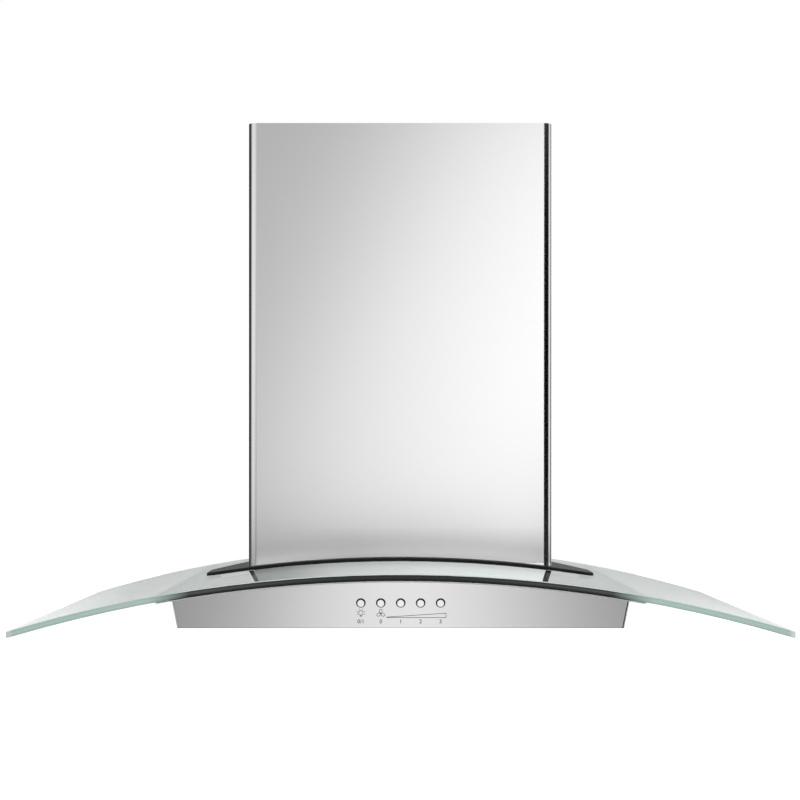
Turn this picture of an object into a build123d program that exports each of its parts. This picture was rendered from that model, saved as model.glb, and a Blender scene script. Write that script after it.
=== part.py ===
from build123d import *
import math
import os

os.makedirs("parts", exist_ok=True)

# ---------------------------------------------------------------------------
# Curved glass range hood for a wall, 750 mm wide.  Millimetres.
# x runs to the cook's left-to-right, -y is towards the cook, z is up.
# The origin is on the wall, midway between the two hanging holes.
# A height is measured up from the bottom edge of the steel body.
# ---------------------------------------------------------------------------

# Fits
SHEET_GAP = 0.2           # between two pieces that lie on each other
ARCH_GAP = 0.2            # the same, between two bent faces
MOVING_GAP = 0.3          # between a moving piece and the face it comes to rest on
SLIDE_GAP = 0.8           # between the two telescoping flue covers
SHAFT_GAP = 0.05          # radial, in a bearing or a hinge eye
SCREW_GAP = 0.2           # radial, round a screw's shank
PAST = 9.0                # how far a cut runs past the sheet that it opens

# Glass canopy
GLASS_WIDTH = 750.0
GLASS_DEPTH = 500.0
GLASS_THICKNESS = 6.0
GLASS_ARCH_RADIUS = 1300.0   # of the top face
GLASS_FRONT_CORNER = 12.0
GLASS_REAR_CORNER = 6.0
GLASS_EDGE = 0.8             # ground edge
GLASS_NOTCH_GAP = 4.0        # from the notch to the air box's front
GLASS_NOTCH_SIDE = 1.0       # from the notch to the wall plate's sides
GLASS_NOTCH_CORNER = 12.0
BUSH_RADIUS = 5.5
BUSH_LENGTH = 4.0
BUSH_SET_BACK = 1.3          # below the glass's top face

# Steel body under the glass
BODY_BOTTOM_WIDTH = 428.0
BODY_HEIGHT = 47.0           # up to the underside of the glass, at its crown
BODY_FLARE = 9.8             # degrees, front and sides
BODY_CORNER = 2.5            # outside bend radius at the two front corners
BODY_SHEET = 1.2
BODY_LIP = 12.0
GLASS_OVERHANG = 12.0        # glass in front of the body's top edge
GASKET_THICKNESS = 1.0
GASKET_WIDTH = 9.0
GASKET_INSET = 1.0           # from the edge of the body's top
DECK_WIDTH = 470.0
DECK_SHEET = 1.0
DECK_CORNER = 10.0
DECK_LIP = 14.0
HANG_HEIGHT = 220.0          # of the hanging holes

# Bottom pan, filters and lamps
PAN_SHEET = 1.2
PAN_GAP = 0.5
FILTER_OPENING_WIDTH = 184.0
FILTER_OPENING_REAR = 50.0   # from the wall
FILTER_LAMP_GAP = 32.0       # from the lamps' rims to the filters' openings
FILTER_CENTRE_BAR = 16.0
FILTER_SIDE_GAP = 1.0
FILTER_FRONT_GAP = 1.5
FILTER_REAR_GAP = 3.0
FILTER_THICKNESS = 9.0
FILTER_RECESS = 0.8          # above the body's bottom edge
FILTER_RIM = 14.0
FILTER_WALL = 1.2
FILTER_CORNER = 3.0
HEM_RADIUS = 1.2             # of the rolled edge that the filters hang on
HOOK_GAP = 0.15              # radial, between that edge and the hooks
HOOK_SHEET = 1.2
HOOK_WIDTH = 22.0
HOOK_SPACING = 110.0
HOOK_START_ANGLE = 20.0      # above the pan, at the back of the rolled edge
MESH_THICKNESS = 5.0
MESH_COLUMNS = 6
MESH_ROWS = 12
MESH_STRAND = 5.0
CATCH_WIDTH = 26.0
CATCH_SHEET = 0.8
GRIP_WIDTH = 60.0
GRIP_DEPTH = 18.0
GRIP_FLOOR = 0.6
GRIP_END = 8.0               # left solid at each end of the cup
GRIP_SIDE = 4.0
LAMP_SPACING = 270.0
LAMP_FROM_FRONT = 65.0       # from the body's front edge, at its bottom
LAMP_RADIUS = 33.0
LAMP_CUP_RADIUS = 28.5
LAMP_CUP_HEIGHT = 22.0
LAMP_SHEET = 1.0
LAMP_CUP_ROUND = 2.0
LENS_THICKNESS = 2.5
LENS_WINDOW = 24.0
BULB_RADIUS = 12.0
BULB_HEIGHT = 12.0

# Push buttons
BUTTON_PITCH = 19.0
BUTTON_HEIGHT = 24.5
BUTTON_RADIUS = 3.9
BUTTON_HOLE = 4.6
BUTTON_PROUD = 1.6
BUTTON_CAP = 6.6
BUTTON_ROUND = 0.8
BUTTON_TRAVEL = 2.5
STEM_RADIUS = 2.2
STEM_LENGTH = 12.0
SWITCH_WIDTH = 100.0
SWITCH_HEIGHT = 12.0
SWITCH_DEPTH = 15.0
SWITCH_BRACKET_SHEET = 1.0
SWITCH_ROOM = 1.0            # behind a pressed button

# Air box and the plate that hangs it on the wall
AIRBOX_WIDTH = 284.0
AIRBOX_TOP_HEIGHT = 266.0
AIRBOX_FOOT_HEIGHT = 30.0
AIRBOX_SHEET = 1.2
AIRBOX_FLANGE = 12.0
AIRBOX_RIM = 10.0            # folded down round the top
WALL_PLATE_WIDTH = 300.0
WALL_PLATE_SHEET = 1.5
WALL_PLATE_FOOT_HEIGHT = 12.0
WALL_PLATE_ABOVE = 14.0      # its top edge, above the air box
WALL_PLATE_CORNER = 4.0
HANG_SPACING = 220.0
HANG_HOLE = 4.0
LOCK_HEIGHT = 90.0
LOCK_HOLE = 3.0

# Blower: a forward-curved wheel with an inlet at each end, in a scroll
WHEEL_HEIGHT = 160.0         # of its axis
WHEEL_FROM_WALL = 155.0
WHEEL_RADIUS = 75.0
WHEEL_WIDTH = 90.0
WHEEL_DISC = 1.5
WHEEL_RING = 2.0
WHEEL_RING_WIDTH = 4.0
BLADE_COUNT = 30
BLADE_DEPTH = 11.0           # radial
BLADE_SWEEP = 5.0            # degrees by which a blade's tip leads its root
BLADE_BOW = 2.2
BLADE_THICKNESS = 1.0
BLADE_INSET = 0.4            # of the tips, inside the rings
HUB_RADIUS = 10.0
HUB_LENGTH = 24.0
HUB_BEHIND = 9.0             # the part of the hub on the motor's side of the disc
SCROLL_START_RADIUS = 90.0
SCROLL_STEP = 12.0           # growth of the radius at each quarter turn
SCROLL_TONGUE_ANGLE = 70.0
SCROLL_SHEET = 1.2
SCROLL_SIDE_GAP = 4.0
SCROLL_FLANGE = 12.0
INLET_RADIUS = 62.0

# Motor
MOTOR_RADIUS = 40.0
MOTOR_BELL_RADIUS = 36.0
MOTOR_NOSE_RADIUS = 12.0
MOTOR_NOSE = 5.0
MOTOR_BELL = 10.0
MOTOR_BELL_ROUND = 4.0
MOTOR_STATOR = 40.0
MOTOR_HUB_GAP = 4.0
MOTOR_FLANGE_RADIUS = 46.0
MOTOR_FLANGE = 2.0
SHAFT_RADIUS = 4.0
BRACKET_SHEET = 2.0
BRACKET_ARM = 12.0
BRACKET_REACH = 80.0
BRACKET_FOOT = 14.0
BRACKET_RING = 3.0           # by which its ring is wider than the motor's flange
BRACKET_STAND = 8.0          # of the motor's flange off the scroll
SHAFT_SHORT = 15.0           # of the stator's far end
SHAFT_PROUD = 2.0            # of the wheel's hub
CAPACITOR_RADIUS = 15.0
CAPACITOR_LENGTH = 50.0
CAPACITOR_ROUND = 1.5
CAPACITOR_FROM_WALL = 60.0
CAPACITOR_HEIGHT = 125.0
STRAP_SHEET = 1.0
STRAP_WIDTH = 12.0
STRAP_FOOT = 10.0

# Duct collar and its two damper flaps
COLLAR_RADIUS = 75.0
COLLAR_WALL = 1.5
COLLAR_HEIGHT = 40.0
COLLAR_FLANGE = 11.0
COLLAR_SCREW_OUT = 6.2       # from the spigot to its screws
COLLAR_FROM_WALL = 88.0
FLAP_LEDGE_HEIGHT = 12.0
FLAP_LEDGE = 3.5
FLAP_LEDGE_BREAK = 6.0       # from the middle, where the flaps' straight edges drop
FLAP_THICKNESS = 1.2
FLAP_MARGIN = 1.0
FLAP_SPLIT = 0.3             # from the middle to each flap
FLAP_PIN_RADIUS = 1.5
FLAP_PIN_IN_WALL = 0.9
FLAP_AXIS_OFFSET = 3.0

# Flue covers
FLUE_WIDTH = 328.0
FLUE_DEPTH = 274.0
FLUE_FRONT_ROOM = 12.0       # from the air box's front to the cover's front
FLUE_TOP_HEIGHT = 525.0
FLUE_SHEET = 1.0
FLUE_BEND = 9.0
FLUE_RETURN = 12.0
UPPER_FLUE_LENGTH = 330.0
CLIP_HEIGHT = 78.0
CLIP_WIDTH = 20.0
CLIP_FROM_WALL = 30.0
CLIP_SHEET = 1.2
CLIP_TAIL = 10.0             # of its foot, below the bend
FLUE_BRACKET_SHEET = 1.5
FLUE_BRACKET_HEIGHT = 40.0
FLUE_BRACKET_DEPTH = 40.0
FLUE_BRACKET_SPACING = 200.0
FLUE_BRACKET_HOLE = 3.0
FLUE_BRACKET_DROP = 4.0      # below the top of the flue
FLUE_BRACKET_MARGIN = 4.0    # from the flue's returns
FLUE_BRACKET_STEP = 7.0      # of its arms, in front of the returns
UPPER_FLUE_DROP = 0.5        # below the top of the lower cover

# Clamp plate on the glass, round the foot of the flue
PLATE_THICKNESS = 3.4
PLATE_IN_FRONT = 16.0
PLATE_TIP_WIDTH = 418.0
PLATE_TIP_BACK = 49.0        # behind the flue's front
PLATE_WAIST_BACK = 134.0
PLATE_WAIST_MARGIN = 1.5
PLATE_FRONT_CORNER = 20.0
PLATE_TIP_CORNER = 16.0
PLATE_WAIST_CORNER = 12.0
PLATE_EDGE = 1.0
STUD_RADIUS = 4.0

# Terminal box on the air box
TERMINAL_LENGTH = 90.0
TERMINAL_WIDTH = 50.0
TERMINAL_HEIGHT = 38.0
TERMINAL_SHEET = 1.0
TERMINAL_FROM_COLLAR = 6.0
TERMINAL_TAB = 8.0           # of the lid, inside the box
TERMINAL_TAB_INSET = 6.0
GLAND_BORE = 4.5
GLAND_RADIUS = 8.0
GLAND_NUT_RADIUS = 11.0
GLAND_NUT = 5.0
GLAND_LENGTH = 22.0
GLAND_PROUD = 3.0            # above its upper nut

# Screws
SCREW_RADIUS = 2.0
SCREW_HEAD = 3.8
SCREW_HEAD_HEIGHT = 2.0
SCREW_LENGTH = 8.0
GLASS_SCREW_LENGTH = 8.5
SHORT_SCREW = 2.6
FRONT_SCREW_SPACING = 156.0      # of the two glass screws in front of the flue
TIP_SCREW_IN = 18.0              # from the dark plate's tips
TIP_SCREW_AHEAD = 25.0
WAIST_SCREW_OUT = 12.0           # from the middle of the dark plate's arms
WAIST_SCREW_AHEAD = 45.0
GLASS_SCREW_SET_BACK = 1.5       # below the body's top sheet
PAN_SCREW_IN = 7.0               # from the body's lip
PAN_SCREW_AHEAD = 25.0           # of the filters
PAN_MIDDLE_SPACING = 80.0
PAN_MIDDLE_AHEAD = 40.0
WALL_SCREW_INSET = 25.0          # from the air box's foot and top

# ---------------------------------------------------------------------------
# Places that follow from the sizes
# ---------------------------------------------------------------------------

BODY_BOTTOM = -HANG_HEIGHT


def level(height):
    """The z of a height above the body's bottom edge."""
    return BODY_BOTTOM + height


ARCH_CENTRE = level(BODY_HEIGHT) + GLASS_THICKNESS - GLASS_ARCH_RADIUS
GLASS_TOP_R = GLASS_ARCH_RADIUS
GLASS_UNDER_R = GLASS_TOP_R - GLASS_THICKNESS
GASKET_TOP_R = GLASS_UNDER_R - ARCH_GAP
GASKET_UNDER_R = GASKET_TOP_R - GASKET_THICKNESS
DECK_TOP_R = GASKET_UNDER_R - ARCH_GAP
DECK_UNDER_R = DECK_TOP_R - DECK_SHEET
PLATE_UNDER_R = GLASS_TOP_R + ARCH_GAP
PLATE_TOP_R = PLATE_UNDER_R + PLATE_THICKNESS
FLUE_FOOT_R = PLATE_TOP_R + ARCH_GAP

FLARE = math.tan(math.radians(BODY_FLARE))
BODY_TOP_FRONT = -(GLASS_DEPTH - GLASS_OVERHANG)
BODY_BOTTOM_FRONT = BODY_TOP_FRONT + FLARE * BODY_HEIGHT
AIRBOX_DEPTH = FLUE_DEPTH - FLUE_FRONT_ROOM
AIRBOX_HALF = AIRBOX_WIDTH / 2
AIRBOX_TOP = level(AIRBOX_TOP_HEIGHT)
NOTCH_HALF = WALL_PLATE_WIDTH / 2 + GLASS_NOTCH_SIDE
NOTCH_FRONT = -(AIRBOX_DEPTH + GLASS_NOTCH_GAP)
PAN_UNDER = level(BODY_SHEET)
PAN_TOP = PAN_UNDER + PAN_SHEET
LAMP_Y = BODY_BOTTOM_FRONT + LAMP_FROM_FRONT
FILTER_REAR = -FILTER_OPENING_REAR
FILTER_FRONT = LAMP_Y + LAMP_RADIUS + FILTER_LAMP_GAP
HEM_Y = FILTER_REAR + HEM_RADIUS
HEM_Z = PAN_UNDER + HEM_RADIUS
PLATE_TIP_Y = PLATE_TIP_BACK - FLUE_DEPTH
PLATE_WAIST_Y = PLATE_WAIST_BACK - FLUE_DEPTH
WHEEL_CENTRE = Pos(0, -WHEEL_FROM_WALL, level(WHEEL_HEIGHT))
FLUE_TOP = level(FLUE_TOP_HEIGHT)
FLUE_FRONT = -FLUE_DEPTH
PLATE_FRONT = FLUE_FRONT - PLATE_IN_FRONT
SIDES = {"left": -1, "right": 1}


def arch_height(x, radius):
    """The z of an arched face at a distance x from the middle."""
    return ARCH_CENTRE + math.sqrt(radius**2 - x**2)


# ---------------------------------------------------------------------------
# Small helpers
# ---------------------------------------------------------------------------


def on_arch(point, radius):
    """Whether a point lies on an arched face."""
    return abs(math.hypot(point.X, point.Z - ARCH_CENTRE) - radius) < 0.01


def block(x0, x1, y0, y1, z0, z1):
    """A box between two corners."""
    middle = Pos((x0 + x1) / 2, (y0 + y1) / 2, (z0 + z1) / 2)
    return middle * Box(abs(x1 - x0), abs(y1 - y0), abs(z1 - z0))


def area(x0, x1, y0, y1):
    """A rectangle in plan, between two corners."""
    return Pos((x0 + x1) / 2, (y0 + y1) / 2) * Rectangle(abs(x1 - x0), abs(y1 - y0))


def disc_x(radius, x0, x1):
    """A round bar along x, on the x axis."""
    return Pos((x0 + x1) / 2, 0, 0) * Rot(0, 90, 0) * Cylinder(radius, abs(x1 - x0))


def disc_y(radius, y0, y1):
    """A round bar along y, on the y axis."""
    return Pos(0, (y0 + y1) / 2, 0) * Rot(90, 0, 0) * Cylinder(radius, abs(y1 - y0))


def disc_z(radius, z0, z1):
    """A round bar along z, on the z axis."""
    return Pos(0, 0, (z0 + z1) / 2) * Cylinder(radius, abs(z1 - z0))


def rounded(sketch, corner, rule):
    """Rounds the corners of a plan that a rule picks."""
    return fillet([v for v in sketch.vertices() if rule(v)], corner)


def under_arch(radius):
    """Everything below an arched face, as one solid to keep or to take away."""
    return Pos(0, -GLASS_DEPTH / 2, ARCH_CENTRE) * disc_y(radius, -GLASS_DEPTH, GLASS_DEPTH)


def arched(plan, under, over):
    """A sheet bent to the arch of the glass, with the given plan."""
    tall = extrude(Pos(0, 0, ARCH_CENTRE + under * math.cos(0.35)) * plan, over - under * math.cos(0.35))
    return (tall & under_arch(over)) - under_arch(under)


def notch(half_width, front, corner):
    """The plan of a U-shaped notch that is open to the wall."""
    plan = area(-half_width, half_width, front, GLASS_NOTCH_GAP)
    return rounded(plan, corner, lambda v: v.Y < front / 2)


def one_solid(shape):
    """The shape as a plain solid where it is one."""
    found = shape.solids()
    return found[0] if len(found) == 1 else Compound(children=list(found))


def screw(length=SCREW_LENGTH):
    """A pan-head screw whose head stands on z = 0 and whose shank goes down."""
    head = disc_z(SCREW_HEAD, 0, SCREW_HEAD_HEIGHT)
    head = fillet(head.edges().filter_by(GeomType.CIRCLE).group_by(Axis.Z)[-1], SCREW_HEAD_HEIGHT * 0.45)
    return head + disc_z(SCREW_RADIUS, -length, 0)


def screw_hole(length=SCREW_LENGTH):
    """The hole for that screw's shank."""
    return disc_z(SCREW_RADIUS + SCREW_GAP, -length, length / 2)


def group(shapes):
    """Several separate solids in one node."""
    return Compound(children=[one_solid(s) for s in shapes])


# ---------------------------------------------------------------------------
# Places of the screws, each with z along the screw, head outwards
# ---------------------------------------------------------------------------

FLUE_HALF = FLUE_WIDTH / 2
PLATE_ARM_MIDDLE = (FLUE_HALF + PLATE_WAIST_MARGIN + NOTCH_HALF) / 2
GLASS_SCREW_XY = [
    (side * x, y)
    for side in SIDES.values()
    for x, y in [
        (FRONT_SCREW_SPACING / 2, (NOTCH_FRONT + PLATE_FRONT) / 2),
        (PLATE_TIP_WIDTH / 2 - TIP_SCREW_IN, PLATE_TIP_Y - TIP_SCREW_AHEAD),
        (PLATE_ARM_MIDDLE + WAIST_SCREW_OUT, PLATE_WAIST_Y - WAIST_SCREW_AHEAD),
    ]
]
GLASS_SCREW_PLACES = [
    Pos(x, y, arch_height(x, DECK_UNDER_R) - GLASS_SCREW_SET_BACK) * Rot(180, 0, 0)
    for x, y in GLASS_SCREW_XY
]
PAN_SCREW_PLACES = [
    Pos(side * x, y, PAN_UNDER) * Rot(180, 0, 0)
    for side in SIDES.values()
    for x, y in [
        (BODY_BOTTOM_WIDTH / 2 - BODY_LIP - PAN_SCREW_IN, FILTER_REAR / 2),
        (BODY_BOTTOM_WIDTH / 2 - BODY_LIP - PAN_SCREW_IN, FILTER_FRONT - PAN_SCREW_AHEAD),
        (PAN_MIDDLE_SPACING / 2, FILTER_FRONT - PAN_MIDDLE_AHEAD),
    ]
]
COLLAR_CENTRE = Pos(0, -COLLAR_FROM_WALL, AIRBOX_TOP)
COLLAR_SCREW_PLACES = [
    COLLAR_CENTRE * Rot(0, 0, angle) * Pos(COLLAR_RADIUS + COLLAR_SCREW_OUT, 0, COLLAR_WALL)
    for angle in (45, 135, 225, 315)
]
SCROLL_HALF = WHEEL_WIDTH / 2 + SCROLL_SIDE_GAP
BRACKET_ANGLES = (90, 210, 330)
MOTOR_SCREW_PLACES = [
    WHEEL_CENTRE
    * Rot(angle, 0, 0)
    * Pos(-(SCROLL_HALF + SCROLL_SHEET + BRACKET_SHEET), 0, BRACKET_REACH - BRACKET_FOOT / 2)
    * Rot(0, -90, 0)
    for angle in BRACKET_ANGLES
]
FLUE_SCREW_PLACES = [
    Pos(side * FLUE_HALF, -(CLIP_FROM_WALL + CLIP_WIDTH / 2), level(CLIP_HEIGHT)) * Rot(0, side * 90, 0)
    for side in SIDES.values()
]
WALL_PLATE_SCREW_PLACES = [
    Pos(side * (AIRBOX_HALF - AIRBOX_FLANGE / 2), -(WALL_PLATE_SHEET + AIRBOX_SHEET), level(height))
    * Rot(90, 0, 0)
    for side in SIDES.values()
    for height in (AIRBOX_FOOT_HEIGHT + WALL_SCREW_INSET, AIRBOX_TOP_HEIGHT - WALL_SCREW_INSET)
]


# ---------------------------------------------------------------------------
# Glass canopy, its gasket, and the clamp plate on top
# ---------------------------------------------------------------------------


def glass_canopy():
    plan = area(-GLASS_WIDTH / 2, GLASS_WIDTH / 2, -GLASS_DEPTH, 0)
    plan = rounded(plan, GLASS_FRONT_CORNER, lambda v: v.Y < -GLASS_DEPTH / 2)
    plan = rounded(plan, GLASS_REAR_CORNER, lambda v: v.Y > -GLASS_REAR_CORNER / 2)
    plan -= notch(NOTCH_HALF, NOTCH_FRONT, GLASS_NOTCH_CORNER)
    for x, y in GLASS_SCREW_XY:
        plan -= Pos(x, y) * Circle(BUSH_RADIUS + SCREW_GAP)
    sheet = arched(plan, GLASS_UNDER_R, GLASS_TOP_R)
    rim = [
        e
        for e in sheet.edges()
        if (abs(e.center().Y + GLASS_DEPTH) < 0.01 or abs(abs(e.center().X) - GLASS_WIDTH / 2) < 0.01)
        and abs(e.tangent_at(0.5).Z) < 0.9
    ]
    return chamfer(rim, GLASS_EDGE)


def deck_plan(inset):
    """The outline of the body's top, drawn in by an inset."""
    half = DECK_WIDTH / 2 - inset
    plan = area(-half, half, BODY_TOP_FRONT + inset, 0)
    return rounded(plan, DECK_CORNER, lambda v: v.Y < BODY_TOP_FRONT / 2)


def glass_gasket():
    inner = DECK_WIDTH / 2 - GASKET_INSET - GASKET_WIDTH
    front = BODY_TOP_FRONT + GASKET_INSET + GASKET_WIDTH
    plan = deck_plan(GASKET_INSET) - area(-inner, inner, front, PAST)
    return arched(plan, GASKET_UNDER_R, GASKET_TOP_R)


def plate_plan():
    """The dark plate: wide at the front, drawn in to the flue's sides behind its two tips."""
    waist = FLUE_HALF + PLATE_WAIST_MARGIN
    tip = PLATE_TIP_WIDTH / 2
    half = [(waist, 0), (waist, PLATE_WAIST_Y), (tip, PLATE_TIP_Y), (tip, PLATE_FRONT)]
    corners = half + [(-x, y) for x, y in reversed(half)]
    plan = make_face(Polyline(*corners, close=True))
    plan = rounded(plan, PLATE_FRONT_CORNER, lambda v: abs(v.Y - PLATE_FRONT) < 0.01)
    plan = rounded(plan, PLATE_TIP_CORNER, lambda v: abs(v.Y - PLATE_TIP_Y) < 0.01)
    plan = rounded(plan, PLATE_WAIST_CORNER, lambda v: abs(v.Y - PLATE_WAIST_Y) < 0.01)
    return plan - notch(NOTCH_HALF, NOTCH_FRONT, GLASS_NOTCH_CORNER)


def clamp_plate():
    """The plate, with a threaded stud over each glass screw."""
    plate = arched(plate_plan(), PLATE_UNDER_R, PLATE_TOP_R)
    rim = [
        e
        for e in plate.edges()
        if on_arch(e.position_at(0.5), PLATE_TOP_R)
        and (abs(e.position_at(0.5).X) > NOTCH_HALF + 0.01 or e.position_at(0.5).Y < NOTCH_FRONT - 0.01)
    ]
    plate = chamfer(rim, PLATE_EDGE)
    for x, y in GLASS_SCREW_XY:
        foot = arch_height(x, GLASS_UNDER_R) + PLATE_EDGE
        plate += Pos(x, y, 0) * disc_z(STUD_RADIUS, foot, arch_height(x, PLATE_UNDER_R) + PLATE_EDGE)
    for place in GLASS_SCREW_PLACES:
        plate -= place * screw_hole(GLASS_SCREW_LENGTH + SCREW_GAP)
    return plate


def glass_bushes():
    """A nylon bush in each hole of the glass."""
    bushes = []
    for x, y in GLASS_SCREW_XY:
        top = arch_height(x, GLASS_TOP_R) - BUSH_SET_BACK
        ring = disc_z(BUSH_RADIUS, top - BUSH_LENGTH, top)
        ring -= disc_z(STUD_RADIUS + SHEET_GAP, top - PAST, top + PAST)
        bushes.append(Pos(x, y, 0) * ring)
    return group(bushes)


# ---------------------------------------------------------------------------
# Steel body
# ---------------------------------------------------------------------------


def flared(inset, rear, height):
    """The body's solid form, drawn in by an inset at the front and the sides."""
    inset = inset / math.cos(math.radians(BODY_FLARE))
    low_half = BODY_BOTTOM_WIDTH / 2 - inset
    low = area(-low_half, low_half, BODY_BOTTOM_FRONT + inset, rear)
    grow = FLARE * height
    high = area(-low_half - grow, low_half + grow, BODY_BOTTOM_FRONT + inset - grow, rear)
    form = loft([Pos(0, 0, BODY_BOTTOM) * low, Pos(0, 0, BODY_BOTTOM + height) * high])
    upright = [
        e for e in form.edges() if e.center().Y < BODY_BOTTOM_FRONT / 2 and abs(e.tangent_at(0.5).Z) > 0.9
    ]
    corner = max(BODY_CORNER - inset, 0.3)
    return fillet(upright, corner)


def panel_place(x, height):
    """A place on the front panel's face, with z pointing out of it and y up along it."""
    tilt = math.radians(BODY_FLARE)
    out = (0, -math.cos(tilt), -math.sin(tilt))
    at = (x, BODY_BOTTOM_FRONT - FLARE * height, level(height))
    return Plane(origin=at, x_dir=(1, 0, 0), z_dir=out).location


BUTTON_XS = [BUTTON_PITCH * (i - 2) for i in range(5)]
BUTTON_PLACES = [panel_place(x, BUTTON_HEIGHT) for x in BUTTON_XS]


def body_shell():
    """Front and sides in one folded sheet, with a lip turned in along the bottom."""
    above = BODY_HEIGHT + PAST
    shell = flared(0, 0, above) - flared(BODY_SHEET, PAST, above)
    low_half = BODY_BOTTOM_WIDTH / 2
    lip = block(-low_half, low_half, BODY_BOTTOM_FRONT, 0, BODY_BOTTOM, BODY_BOTTOM + BODY_SHEET)
    lip &= flared(0, 0, above)
    lip -= block(
        -low_half + BODY_LIP,
        low_half - BODY_LIP,
        BODY_BOTTOM_FRONT + BODY_LIP,
        PAST,
        BODY_BOTTOM - PAST,
        BODY_BOTTOM + PAST,
    )
    shell = (shell + lip) & under_arch(DECK_UNDER_R - ARCH_GAP)
    for place in BUTTON_PLACES:
        shell -= place * disc_z(BUTTON_HOLE, -PAST, PAST)
    return shell


def body_deck():
    """The arched top sheet under the glass, with lips down round the air box."""
    inner = AIRBOX_HALF + SHEET_GAP
    front = -(AIRBOX_DEPTH + SHEET_GAP)
    rear = -(WALL_PLATE_SHEET + BODY_SHEET + SHEET_GAP)
    outer = inner + DECK_SHEET
    opening = area(-inner, inner, front, PAST)
    outline = deck_plan(0) - area(-DECK_WIDTH, DECK_WIDTH, rear, PAST)
    sheet = arched(outline - opening, DECK_UNDER_R, DECK_TOP_R)
    lips = area(-outer, outer, front - DECK_SHEET, rear) - opening
    foot = arch_height(inner, DECK_UNDER_R) - DECK_LIP
    lips = extrude(Pos(0, 0, foot) * lips, BODY_HEIGHT) & under_arch(DECK_TOP_R)
    deck = sheet + lips
    for place in GLASS_SCREW_PLACES:
        deck -= place * screw_hole(GLASS_SCREW_LENGTH)
    return deck


def body_back():
    """The body's rear wall, in front of the wall plate's foot."""
    rear = -WALL_PLATE_SHEET
    wide = BODY_BOTTOM_WIDTH
    sheet = block(-wide, wide, rear - BODY_SHEET, rear, level(BODY_SHEET), level(BODY_HEIGHT))
    sheet &= flared(BODY_SHEET + SHEET_GAP, 0, BODY_HEIGHT + PAST) & under_arch(DECK_UNDER_R)
    passage = AIRBOX_HALF + 2 * SHEET_GAP + DECK_SHEET
    foot = level(AIRBOX_FOOT_HEIGHT) - SHEET_GAP
    return sheet - block(-passage, passage, -PAST, PAST, foot, level(BODY_HEIGHT) + PAST)


# ---------------------------------------------------------------------------
# Bottom pan, filters and lamps
# ---------------------------------------------------------------------------

FILTER_INNER_X = FILTER_CENTRE_BAR / 2
FILTER_OUTER_X = FILTER_INNER_X + FILTER_OPENING_WIDTH
FILTER_UNDER = level(FILTER_RECESS)
FILTER_TOP = FILTER_UNDER + FILTER_THICKNESS
FILTER_MIDDLE_X = (FILTER_INNER_X + FILTER_OUTER_X) / 2


def bottom_pan():
    """The flat underside, which lies on the body's lip. The rear edge of each filter's opening is
    rolled up, and the filter hangs and turns on it."""
    half = BODY_BOTTOM_WIDTH / 2 - BODY_SHEET - PAN_GAP
    rear = -(WALL_PLATE_SHEET + BODY_SHEET + SHEET_GAP)
    pan = block(-half, half, BODY_BOTTOM_FRONT + BODY_SHEET + PAN_GAP, rear, PAN_UNDER, PAN_TOP)
    for side in SIDES.values():
        x0, x1 = side * FILTER_INNER_X, side * FILTER_OUTER_X
        pan -= block(x0, x1, FILTER_FRONT, HEM_Y, PAN_UNDER - PAST, PAN_TOP + PAST)
        pan += Pos(0, HEM_Y, HEM_Z) * disc_x(HEM_RADIUS, x0, x1)
        pan -= lamp_place(side) * disc_z(LAMP_CUP_RADIUS + SHEET_GAP, -PAST, PAST)
    for place in PAN_SCREW_PLACES:
        pan -= place * screw_hole()
    return pan


def filter_hook(x, y_frame):
    """A strap from the filter's rear wall that curls over the pan's rolled edge."""
    inner = HEM_RADIUS + HOOK_GAP
    outer = inner + HOOK_SHEET
    turn = 90 - HOOK_START_ANGLE
    under = CenterArc((0, 0), inner, HOOK_START_ANGLE, turn)
    over = CenterArc((0, 0), outer, 90, -turn)
    curl = make_face([under, Line(under @ 1, over @ 0), over, Line(over @ 1, under @ 0)])
    profile = curl + area(y_frame - HEM_Y, 0, inner, outer)
    return Pos(0, HEM_Y, HEM_Z) * along_x(profile, x - HOOK_WIDTH / 2, x + HOOK_WIDTH / 2)


def filter_frame(side):
    """A rolled aluminium rim, open in the middle, with two hooks over the pan's rolled edge."""
    x0 = FILTER_INNER_X + FILTER_SIDE_GAP
    x1 = FILTER_OUTER_X - FILTER_SIDE_GAP
    y0 = FILTER_FRONT + FILTER_FRONT_GAP
    y1 = FILTER_REAR - FILTER_REAR_GAP
    rim = block(x0, x1, y0, y1, FILTER_UNDER, FILTER_TOP)
    window = area(x0 + FILTER_RIM, x1 - FILTER_RIM, y0 + FILTER_RIM, y1 - FILTER_RIM)
    channel = area(x0 + FILTER_WALL, x1 - FILTER_WALL, y0 + FILTER_WALL, y1 - FILTER_WALL)
    frame = fillet(rim.edges().filter_by(Axis.Z), FILTER_CORNER)
    frame -= extrude(Pos(0, 0, FILTER_UNDER - PAST) * window, 3 * PAST)
    frame -= extrude(Pos(0, 0, FILTER_UNDER + FILTER_WALL) * channel, FILTER_THICKNESS - 2 * FILTER_WALL)
    for offset in (-HOOK_SPACING / 2, HOOK_SPACING / 2):
        frame += filter_hook(FILTER_MIDDLE_X + offset, y1 - FILTER_WALL / 2)
    return frame if side > 0 else mirror(frame, Plane.YZ)


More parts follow.
